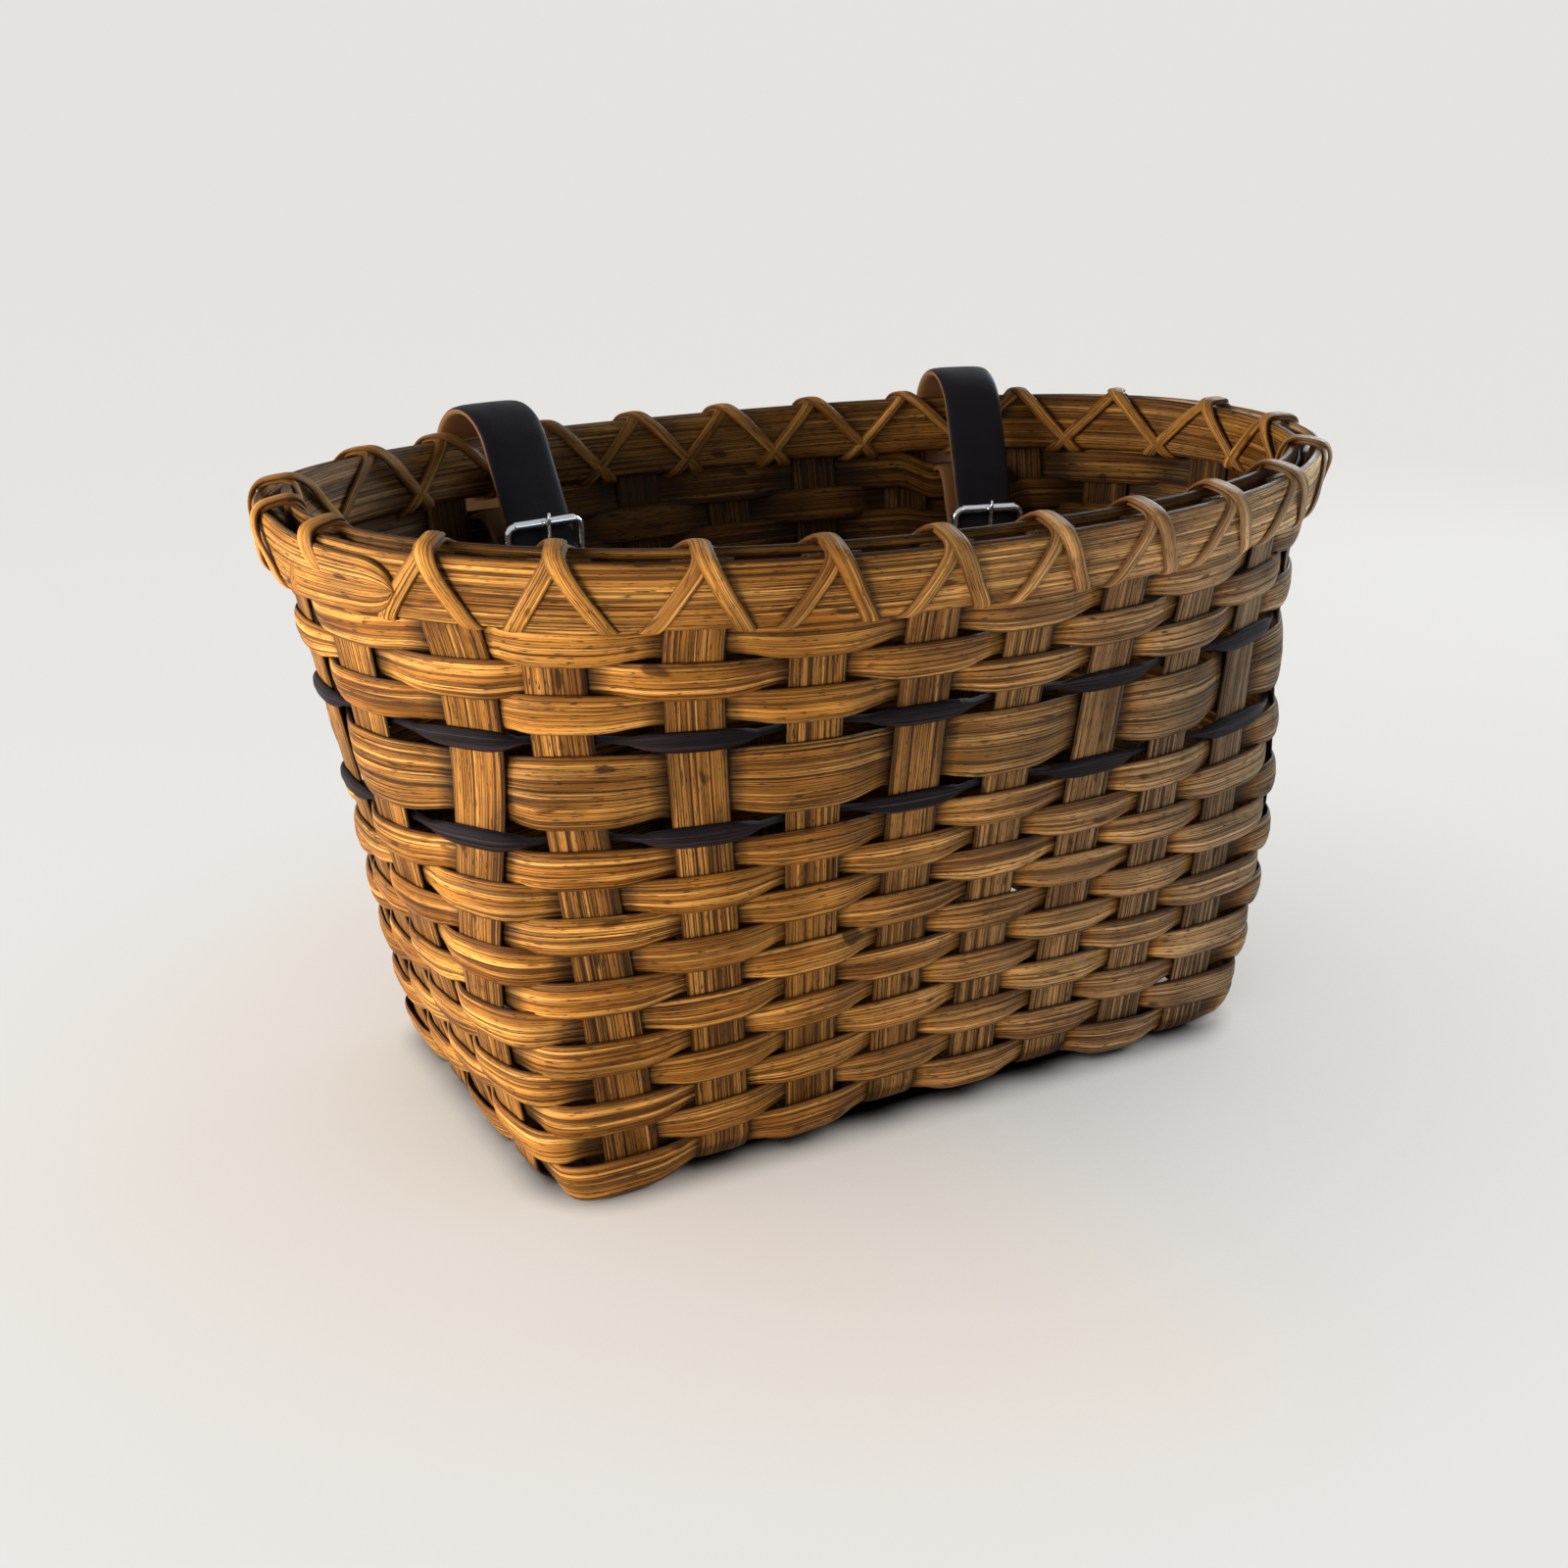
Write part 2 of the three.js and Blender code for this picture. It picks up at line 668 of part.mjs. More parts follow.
// Least distance between two turns of a strip, from points along both of its edges and its middle
function leastGap(stations) {
  const samples = [];
  const turn = stations.length / ring.length;
  for (let i = 0; i < stations.length - 1; i += 1) {
    const here = stations[i];
    const next = stations[i + 1];
    for (const share of [0, 0.25, 0.5, 0.75]) {
      for (const side of [-LASHING_WIDTH / 2, 0, LASHING_WIDTH / 2]) {
        const point = here.point.clone().lerp(next.point, share).addScaledVector(here.line, side);
        samples.push({ point, step: i });
      }
    }
  }
  let least = Infinity;
  samples.forEach((a, i) => {
    for (let j = i + 1; j < samples.length; j += 1) {
      if (samples[j].step - a.step > turn / 2) {
        least = Math.min(least, a.point.distanceTo(samples[j].point));
      }
    }
  });
  return least - LASHING_THICKNESS;
}

for (const [name, direction, layer] of [
  ["first_lashing", 1, 0],
  ["second_lashing", -1, lashingLayer],
]) {
  const stations = lashingStations(direction, layer);
  console.log(name + " least gap to itself " + leastGap(stations).toFixed(2) + " mm");
  addPiece(name, strip(stations, rectangle(LASHING_WIDTH, LASHING_THICKNESS), false), REED);
}

// Straps: drawn in the plane across the rim, x inwards and y up from the loop's centre

const barRadius = BAR_DIAMETER / 2;
const foldRadius = barRadius + METAL_GAP + STRAP_THICKNESS / 2;
const billetToBar = STRAP_THICKNESS / 2 + METAL_GAP + barRadius;
const billetToHeel = 1.5 * STRAP_THICKNESS + 2 * METAL_GAP + barRadius;
const frameRun = Math.sqrt(FRAME_LENGTH ** 2 - (billetToBar + billetToHeel) ** 2);

function heading(angle) {
  return new THREE.Vector2(Math.cos(angle), Math.sin(angle));
}

function arcPoints(centre, radius, from, to) {
  const steps = Math.max(2, Math.ceil(Math.abs(to - from) / degToRad(ARC_DEGREES)));
  const points = [];
  for (let i = 0; i <= steps; i += 1) {
    points.push(centre.clone().addScaledVector(heading(lerp(from, to, i / steps)), radius));
  }
  return points;
}

function strapDrawing(drape, distance, lean) {
  const slope = degToRad(drape);
  const billet = heading(-slope);
  const billetUp = heading(Math.PI / 2 - slope);
  const onBillet = (run) => billetUp.clone().multiplyScalar(loopRadius).addScaledVector(billet, run);
  const free = onBillet(distance).addScaledVector(billetUp, billetToBar);
  const heel = onBillet(distance + frameRun).addScaledVector(billetUp, -billetToHeel);
  const fold = heading(-slope + degToRad(FOLD_SLOPE));
  const foldUp = new THREE.Vector2(-fold.y, fold.x);
  const fromHeel = (along, rise) =>
    heel.clone().addScaledVector(fold, along).addScaledVector(foldUp, rise);

  // Billet from its tip up to the loop, then round the rim to the wall slot
  const points = [onBillet(distance + frameRun + BILLET_TIP)];
  const slot = 1.5 * Math.PI + lean + Math.asin((wallHalf + STRAP_GAP) / loopRadius);
  points.push(...arcPoints(new THREE.Vector2(), loopRadius, Math.PI / 2 - slope, slot));

  // From the slot in a soft bend down to the straight run of the fold
  const start = points.at(-1);
  const leaving = heading(slot + Math.PI / 2);
  const end = fromHeel(-FOLD_STRAIGHT, -foldRadius);
  const soft = FOLD_BEND_SHARE * start.distanceTo(end);
  const bend = new THREE.CubicBezierCurve(
    start,
    start.clone().addScaledVector(leaving, soft),
    end.clone().addScaledVector(fold, -soft),
    end,
  );
  points.push(...bend.getPoints(BEND_POINTS).slice(1));

  // Round the heel bar, and back as a tab that lies on the strap
  const foldAngle = -slope + degToRad(FOLD_SLOPE);
  const pinch = Math.PI / 2 + degToRad(FOLD_PINCH);
  points.push(...arcPoints(heel, foldRadius, foldAngle - Math.PI / 2, foldAngle + pinch));
  const tabRise = STRAP_THICKNESS + METAL_GAP - foldRadius;
  const tabRun = (foldRadius * Math.sin(pinch) - tabRise) / Math.tan(degToRad(FOLD_PINCH));
  const tabStart = foldRadius * Math.cos(pinch) - tabRun;
  points.push(fromHeel(tabStart, tabRise), fromHeel(tabStart - FOLD_TAB, tabRise));
  const rivet = fromHeel(tabStart - FOLD_TAB / 2, (tabRise - foldRadius) / 2);
  return { points, free, heel, billet, fold, foldUp, fromHeel, rivet, onBillet, billetUp };
}

const rivetHalf = STRAP_THICKNESS + METAL_GAP / 2 + METAL_GAP;
const prongRadius = PRONG_DIAMETER / 2;
const hubInner = barRadius + METAL_GAP;
const hubOuter = hubInner + HUB_WALL;
const slotWidth = HUB_WIDTH + 2 * METAL_GAP;

function rivetProfile() {
  const headRadius = RIVET_HEAD_DIAMETER / 2;
  const shankRadius = RIVET_SHANK_DIAMETER / 2;
  const top = rivetHalf + RIVET_HEAD_HEIGHT;
  return [
    new THREE.Vector2(0, -top),
    new THREE.Vector2(headRadius * RIVET_TOP_SHARE, -top),
    new THREE.Vector2(headRadius, -rivetHalf),
    new THREE.Vector2(shankRadius, -rivetHalf),
    new THREE.Vector2(shankRadius, rivetHalf),
    new THREE.Vector2(headRadius, rivetHalf),
    new THREE.Vector2(headRadius * RIVET_TOP_SHARE, top),
    new THREE.Vector2(0, top),
  ];
}

function strapAssembly({ side, x, drape, distance }) {
  const rim = rearRimPoint(x);
  const inwardAngle = -strapHeading(x) * STRAP_TURN;
  const inward = new THREE.Vector3(Math.sin(inwardAngle), -Math.cos(inwardAngle), 0);
  const axis = new THREE.Vector3().crossVectors(inward, up);
  const centre = rim.clone().addScaledVector(up, LOOP_LIFT);
  const rise = sidePoint(x, rim.z + 1, 1).sub(sidePoint(x, rim.z - 1, 1));
  const lean = Math.atan2(rise.y, rise.z);
  const drawing = strapDrawing(drape, distance, lean);
  const place = (flat, sideways) =>
    centre
      .clone()
      .addScaledVector(inward, flat.x)
      .addScaledVector(up, flat.y)
      .addScaledVector(axis, sideways);
  const turned = (flat) => inward.clone().multiplyScalar(flat.x).addScaledVector(up, flat.y);

  // A box in the drawing plane: its middle, its direction, its length, height and width
  const block = (at, direction, length, height, width) => {
    const along = turned(direction);
    const sideways = axis.clone().negate();
    const basis = new THREE.Matrix4().makeBasis(along, sideways.clone().cross(along), sideways);
    basis.setPosition(place(at, 0));
    return toSolid(new THREE.BoxGeometry(length, height, width).applyMatrix4(basis));
  };
  const lathe = (profile, at, direction) => {
    const geometry = new THREE.LatheGeometry(profile, TURNED_SIDES);
    const upright = new THREE.Vector3(0, 1, 0);
    const turn = new THREE.Quaternion().setFromUnitVectors(upright, turned(direction));
    return geometry.applyQuaternion(turn).translate(...place(at, 0));
  };

  const { free, heel, billet, billetUp, onBillet, fold, foldUp, fromHeel, rivet } = drawing;
  const frameWay = free.clone().sub(heel).normalize();
  const frameOut = new THREE.Vector2(frameWay.y, -frameWay.x);
  const prongRise = barRadius + METAL_GAP + prongRadius;

  // The prong crosses the billet between these two places as it lifts
  const crossing = (lift) => {
    const way = frameWay.clone().rotateAround(new THREE.Vector2(), -degToRad(lift));
    const out = new THREE.Vector2(way.y, -way.x);
    const root = heel.clone().addScaledVector(out, prongRise).sub(onBillet(0));
    const run = -root.dot(billetUp) / way.dot(billetUp);
    const spread = (prongRadius + STRAP_THICKNESS / 2 + METAL_GAP) / way.dot(billetUp);
    const at = root.addScaledVector(way, run).dot(billet);
    return [at - spread, at + spread];
  };
  const crossings = [...crossing(0), ...crossing(PRONG_LIFT)];
  const holeStart = Math.min(...crossings);
  const holeEnd = Math.max(...crossings);

  const stations = drawing.points.map((flat, i, all) => {
    const before = all[Math.max(i - 1, 0)];
    const after = all[Math.min(i + 1, all.length - 1)];
    const along = turned(after.clone().sub(before).normalize());
    return { point: place(flat, 0), normal: along.cross(axis) };
  });
  const leather = toSolid(strip(stations, rectangle(STRAP_WIDTH, STRAP_THICKNESS), false));
  const prongHole = block(
    onBillet((holeStart + holeEnd) / 2),
    billet,
    holeEnd - holeStart,
    2 * STRAP_THICKNESS,
    slotWidth,
  );
  const foldReach = foldRadius + STRAP_THICKNESS / 2 + METAL_GAP / 2;
  const hubReach = hubOuter + METAL_GAP + STRAP_THICKNESS;
  const foldSlot = block(
    fromHeel((foldReach - hubReach) / 2, 0),
    fold,
    foldReach + hubReach,
    2 * foldReach,
    slotWidth,
  );
  const shankRadius = RIVET_SHANK_DIAMETER / 2 + METAL_GAP;
  const shankHole = [
    new THREE.Vector2(0, -2 * STRAP_THICKNESS),
    new THREE.Vector2(shankRadius, -2 * STRAP_THICKNESS),
    new THREE.Vector2(shankRadius, 2 * STRAP_THICKNESS),
    new THREE.Vector2(0, 2 * STRAP_THICKNESS),
  ];
  const rivetHole = toSolid(lathe(shankHole, rivet, foldUp));
  const cut = leather.subtract(prongHole).subtract(foldSlot).subtract(rivetHole);
  addPiece(side + "_strap", toGeometry(cut), LEATHER);

  addPiece(side + "_strap_rivet", lathe(rivetProfile(), rivet, foldUp), CHROME);

  // Buckle frame: a closed wire rectangle with cut corners
  const frameHalf = STRAP_WIDTH / 2 + STRAP_GAP + barRadius;
  const corner = 1.5 * barRadius;
  const inFrame = (along, sideways) => place(heel.clone().addScaledVector(frameWay, along), sideways);
  const length = FRAME_LENGTH;
  const outline = [
    inFrame(0, -frameHalf + corner),
    inFrame(0, frameHalf - corner),
    inFrame(corner, frameHalf),
    inFrame(length - corner, frameHalf),
    inFrame(length, frameHalf - corner),
    inFrame(length, -frameHalf + corner),
    inFrame(length - corner, -frameHalf),
    inFrame(corner, -frameHalf),
  ];
  const frameNormal = turned(frameOut);
  const wire = outline.map((point) => ({ point, normal: frameNormal.clone() }));
  addPiece(side + "_buckle_frame", strip(wire, roundSection(BAR_DIAMETER, WIRE_SIDES), true), CHROME);

  // Prong: a hub round the heel bar and a straight tongue that rests on the free bar
  const hubShape = new THREE.Shape().absarc(0, 0, hubOuter, 0, 2 * Math.PI);
  hubShape.holes.push(new THREE.Path().absarc(0, 0, hubInner, 0, 2 * Math.PI, true));
  const hub = new THREE.ExtrudeGeometry(hubShape, {
    depth: HUB_WIDTH,
    bevelEnabled: false,
    curveSegments: TURNED_SIDES,
  });
  hub.translate(0, 0, -HUB_WIDTH / 2);
  const hubBasis = new THREE.Matrix4().makeBasis(inward, up, axis);
  hub.applyMatrix4(hubBasis.setPosition(place(heel, 0)));
  const onProng = (along) =>
    heel.clone().addScaledVector(frameWay, along).addScaledVector(frameOut, prongRise);
  const tongue = [onProng(0), onProng(length + PRONG_OVERHANG)].map((flat) => ({
    point: place(flat, 0),
    normal: frameNormal.clone(),
  }));
  const bore = toSolid(
    new THREE.CylinderGeometry(hubInner, hubInner, 2 * HUB_WIDTH, TURNED_SIDES)
      .rotateX(Math.PI / 2)
      .applyMatrix4(hubBasis),
  );
  const prong = toSolid(hub).add(toSolid(strip(tongue, roundSection(PRONG_DIAMETER, WIRE_SIDES), false)));
  addPiece(side + "_buckle_prong", toGeometry(prong.subtract(bore)), CHROME);

  const spot = (point) => [point.x, point.y, point.z].map((value) => value.toFixed(4)).join(", ");
  console.log(side + " strap axis at " + spot(centre) + " along " + spot(axis));
  console.log(side + " heel bar at " + spot(place(heel, 0)));
}

strapPlaces.forEach(strapAssembly);

export default basket;
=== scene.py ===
"""A hand-woven reed bicycle basket with two buckled leather straps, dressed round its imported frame."""

import math

import bmesh
import bpy
from mathutils import Matrix, Vector, noise


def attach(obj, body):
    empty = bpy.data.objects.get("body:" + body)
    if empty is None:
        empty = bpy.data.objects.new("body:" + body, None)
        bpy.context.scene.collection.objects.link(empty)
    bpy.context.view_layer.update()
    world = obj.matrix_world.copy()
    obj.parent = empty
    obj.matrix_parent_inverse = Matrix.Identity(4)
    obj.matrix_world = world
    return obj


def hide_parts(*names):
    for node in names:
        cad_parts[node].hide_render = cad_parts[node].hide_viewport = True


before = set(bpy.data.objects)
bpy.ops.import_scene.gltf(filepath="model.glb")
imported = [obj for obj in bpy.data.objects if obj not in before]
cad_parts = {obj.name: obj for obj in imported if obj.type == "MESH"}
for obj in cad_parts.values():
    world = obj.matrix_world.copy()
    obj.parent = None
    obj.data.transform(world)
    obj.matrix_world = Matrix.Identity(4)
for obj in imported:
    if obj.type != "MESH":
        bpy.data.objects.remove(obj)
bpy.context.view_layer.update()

# Stakes: flat reed splints that cross on the base, fold up at its edge and stand as the ribs of the wall.
# They are bent while wet and dried into the form of the basket, a squared oval that opens into a rounder rim.
# Sizes are in millimetres, on the same driving dimensions as the solids, and go to metres in the mesh.
MM = 0.001
RIM_LENGTH = 323
RIM_WIDTH = 193
BASE_LENGTH = 234
BASE_WIDTH = 131
WALL_HEIGHT = 185
LEFT_BELLY = 3
RIGHT_BELLY = 12
SIDE_HOLLOW = 4
RIM_SQUARENESS = 2.2
BASE_SQUARENESS = 10
SQUARENESS_FALL = 3.2
RIM_END_RISE = 3
BASE_ARCH = 5
STAKE_WIDTH = 15.9
STAKE_THICKNESS = 1.5
STAKE_CROWN = 0.15
STAKE_LAP = 1.05
STAKE_GROUND = 1.8
STAKE_FOLD = 8
STAKE_TOP_INSET = 1.5
FAN_TOP = 158.45
ARCH_HALF = 87
CROSS_BASE = [27.4 * (i - 3.5) for i in range(8)]
LONG_BASE = [27.4 * (j - 1.5) for j in range(4)]
FRONT_RIM = [32 * (i - 3.5) - 3 for i in range(8)]
RIGHT_RIM = [33 * (j - 1.5) - 2 for j in range(4)]
LEFT_RIM = [28.5 * (j - 1.5) - 9 for j in range(4)]
LEFT_STRAP_X = -72
RIGHT_STRAP_X = 98.5
STRAP_ROOM = 19.15
SPREAD_FOLLOW = 0.45

UP = Vector((0, 0, 1))
WALL_FACING = {
    "front": Vector((0, -1, 0)),
    "right": Vector((1, 0, 0)),
    "rear": Vector((0, 1, 0)),
    "left": Vector((-1, 0, 0)),
}


def between(a, b, share):
    return a + (b - a) * share


def clamp(value, low=0.0, high=1.0):
    return max(low, min(high, value))


def ease(value):
    value = clamp(value)
    return value * value * (3 - 2 * value)


def wall_level(z):
    share = z / WALL_HEIGHT
    belly = 4 * share * (1 - share)
    straight = between(BASE_LENGTH, RIM_LENGTH, share) / 2
    fall = (1 - clamp(share)) ** SQUARENESS_FALL
    left = straight + LEFT_BELLY * belly
    right = straight + RIGHT_BELLY * belly
    side = between(BASE_WIDTH, RIM_WIDTH, share) / 2 - SIDE_HOLLOW * belly
    return left, right, side, between(RIM_SQUARENESS, BASE_SQUARENESS, fall)


def oval_share(share, power):
    return (1 - min(abs(share), 1) ** power) ** (1 / power)


def wall_point(wall, place, z):
    left, right, side, power = wall_level(z)
    if wall in ("front", "rear"):
        half = left if place < 0 else right
        return Vector((place, WALL_FACING[wall].y * side * oval_share(place / half, power), z))
    half = left if wall == "left" else right
    return Vector((WALL_FACING[wall].x * half * oval_share(place / side, power), place, z))


def wall_outward(point):
    left, right, side, power = wall_level(point.z)
    half = left if point.x < 0 else right
    x = math.copysign(abs(point.x / half) ** (power - 1), point.x) / half
    y = math.copysign(abs(point.y / side) ** (power - 1), point.y) / side
    return Vector((x, y, 0)).normalized()


def base_level(x):
    return STAKE_GROUND + BASE_ARCH * max(0, 1 - (x / ARCH_HALF) ** 2)


def rim_top(point):
    return WALL_HEIGHT + RIM_END_RISE * (point.x / (RIM_LENGTH / 2)) ** 2


def rear_rim_places():
    """The rear stakes beside a strap stand apart to let it through.
    Their neighbours follow part of the way."""
    places = list(FRONT_RIM)
    for strap_x in (LEFT_STRAP_X, RIGHT_STRAP_X):
        right = next(i for i, x in enumerate(FRONT_RIM) if x > strap_x)
        left = right - 1
        places[left] = strap_x - STRAP_ROOM
        places[right] = strap_x + STRAP_ROOM
        if left > 0:
            places[left - 1] += SPREAD_FOLLOW * (places[left] - FRONT_RIM[left])
        if right < len(places) - 1:
            places[right + 1] += SPREAD_FOLLOW * (places[right] - FRONT_RIM[right])
    return places


class StakeArm:
    """One upright half of a stake, from its fold at the base to the rim."""

    def __init__(self, wall, base, rim, foot):
        self.wall = wall
        self.base = base
        self.rim = rim
        self.foot = foot
        self.rim_facing = wall_outward(self.point(FAN_TOP))

    def share(self, z):
        return clamp((z - self.foot) / (FAN_TOP - self.foot))

    def point(self, z):
        point = wall_point(self.wall, between(self.base, self.rim, self.share(z)), z)
        drop = clamp(self.foot + STAKE_FOLD - z, 0, STAKE_FOLD)
        return point - WALL_FACING[self.wall] * (STAKE_FOLD - math.sqrt(STAKE_FOLD**2 - drop**2))

    def along(self, z):
        outward = WALL_FACING[self.wall].lerp(self.rim_facing, self.share(z)).normalized()
        return UP.cross(outward)

    def normal(self, z):
        rise = (self.point(z + 1) - self.point(z - 1)).normalized()
        return self.along(z).cross(rise).normalized()

    def height(self, rule):
        z = FAN_TOP
        for _ in range(8):
            z = rule(self.point(z))
        return z


front_arms = [StakeArm("front", x, FRONT_RIM[i], base_level(x)) for i, x in enumerate(CROSS_BASE)]
rear_rim = rear_rim_places()
rear_arms = [StakeArm("rear", x, rear_rim[i], base_level(x)) for i, x in enumerate(CROSS_BASE)]
left_arms = [StakeArm("left", y, LEFT_RIM[j], STAKE_GROUND) for j, y in enumerate(LONG_BASE)]
right_arms = [StakeArm("right", y, RIGHT_RIM[j], STAKE_GROUND) for j, y in enumerate(LONG_BASE)]
ring_arms = front_arms + right_arms + rear_arms[::-1] + left_arms[::-1]


def round_section(sides):
    """The cosine and sine of each step round a section."""
    steps = [2 * math.pi * k / sides for k in range(sides)]
    return [(math.cos(step), math.sin(step)) for step in steps]


def squared(value, power):
    """A cosine or sine pushed out, which gives a circle flatter sides and tighter corners."""
    return math.copysign(abs(value) ** power, value)


def reed_section(width, thickness, crown, sides=18):
    """A flat reed's section as (across, out): rounded edges, and a broad face crowned to the outside."""
    points = []
    for c, s in round_section(sides):
        across = squared(c, 0.45) * width / 2
        out = squared(s, 0.7) * thickness / 2
        rise = crown * (1 - (2 * across / width) ** 2) if s > 0 else 0
        points.append((across, out + rise))
    return points


def finished_piece(name, bm):
    """The mesh as an object of the scene, with every face turned outward."""
    bmesh.ops.recalc_face_normals(bm, faces=bm.faces)
    mesh = bpy.data.meshes.new(name)
    bm.to_mesh(mesh)
    bm.free()
    piece = bpy.data.objects.new(name, mesh)
    bpy.context.scene.collection.objects.link(piece)
    return piece


# Painted shade: BACK_SHADE darkens the back face of every strip, so the inside of the basket reads as shaded.
BACK_SHADE = 0.14
# How far in from a reed's rounded edges the painted shade along them reaches.
EDGE_SHADE_BAND = 1.3


def strip_piece(name, stations, section, closed, seed):
    """A section carried along stations of (point, across, facing, width share, tuck), as one closed skin.
    The grain map follows the strip's length and girth, and tuck says how far it is in behind a stake, which the
    reed finishes paint as shade."""
    count = len(stations)
    spans = count if closed else count - 1
    sides = len(section)
    lengths = [0.0]
    for k in range(spans):
        lengths.append(lengths[-1] + (stations[(k + 1) % count][0] - stations[k][0]).length)
    girths = [0.0]
    for k in range(sides):
        a, b = section[k], section[(k + 1) % sides]
        girths.append(girths[-1] + math.hypot(b[0] - a[0], b[1] - a[1]))
    outs = []
    for k, (point, across, facing, _, _) in enumerate(stations):
        after = stations[(k + 1) % count if closed else min(k + 1, count - 1)][0]
        before = stations[(k - 1) % count if closed else max(k - 1, 0)][0]
        way = (after - before).normalized()
        out = facing - way * facing.dot(way)
        outs.append((out - across * out.dot(across)).normalized())
    bm = bmesh.new()
    grain = bm.loops.layers.uv.new("grain")
    tuck = bm.verts.layers.float.new("tuck")
    edge = bm.verts.layers.float.new("edge")
    half = max(abs(a) for a, _ in section)
    bmesh.ops.create_grid(bm, x_segments=spans, y_segments=sides, size=1)
    grid = {}
    for v in bm.verts:
        i = round((v.co.x + 1) / 2 * spans)
        j = round((v.co.y + 1) / 2 * sides)
        grid[v] = (i, j)
    for face in bm.faces:
        face.smooth = True
        for loop in face.loops:
            i, j = grid[loop.vert]
            loop[grain].uv = (lengths[i] * MM + seed * 0.731, girths[j] * MM + seed * 0.173)
    for v, (i, j) in grid.items():
        point, across, _, width, depth = stations[i % count]
        a, b = section[j % sides]
        v.co = (point + across * (a * width) + outs[i % count] * b) * MM
        # tuck: 1 on the face, lower where the strip goes in behind a stake and on its back face. The reed
        # finishes turn it into painted shade; the leather only uses it to tell its two faces apart.
        v[tuck] = clamp(0.5 + 0.5 * depth) if b > 0 else BACK_SHADE * clamp(0.5 - 0.5 * depth)
        # edge marks the rounded edges of the section for painted shade along them.
        v[edge] = clamp(1 - (half - abs(a)) / EDGE_SHADE_BAND)
    bmesh.ops.remove_doubles(bm, verts=bm.verts, dist=1e-7)
    rims = [e for e in bm.edges if e.is_boundary]
    if rims:
        bmesh.ops.holes_fill(bm, edges=rims)
    return finished_piece(name, bm)


def connect(tree, value, socket):
    """A link where the value comes from a node, and a constant where it is a number or a colour."""
    if isinstance(value, bpy.types.NodeSocket):
        tree.links.new(value, socket)
    else:
        socket.default_value = value


def remap(tree, value, low, high, to_low=0, to_high=1, smooth=False):
    """The value's range from low to high drawn over another range."""
    node = tree.nodes.new("ShaderNodeMapRange")
    if smooth:
        node.interpolation_type = "SMOOTHSTEP"
    ends = {"From Min": low, "From Max": high, "To Min": to_low, "To Max": to_high}
    for label, number in {"Value": value, **ends}.items():
        connect(tree, number, node.inputs[label])
    return node.outputs["Result"]


def reckon(tree, operation, *values):
    node = tree.nodes.new("ShaderNodeMath")
    node.operation = operation
    for value, socket in zip(values, node.inputs):
        connect(tree, value, socket)
    return node.outputs["Value"]


def marked(tree, label):
    """What the mesh itself says at a point, such as how far in the strip is tucked."""
    node = tree.nodes.new("ShaderNodeAttribute")
    node.attribute_name = label
    return node.outputs["Fac"]


def cloud(tree, place, scale, detail):
    node = tree.nodes.new("ShaderNodeTexNoise")
    node.inputs["Scale"].default_value = scale
    node.inputs["Detail"].default_value = detail
    tree.links.new(place, node.inputs["Vector"])
    return node


def grain_map(tree):
    node = tree.nodes.new("ShaderNodeUVMap")
    node.uv_map = "grain"
    return node.outputs["UV"]


def own_place(tree):
    """The point's X, Y and Z on the piece itself."""
    parts = tree.nodes.new("ShaderNodeSeparateXYZ")
    tree.links.new(tree.nodes.new("ShaderNodeTexCoord").outputs["Object"], parts.inputs["Vector"])
    return parts.outputs


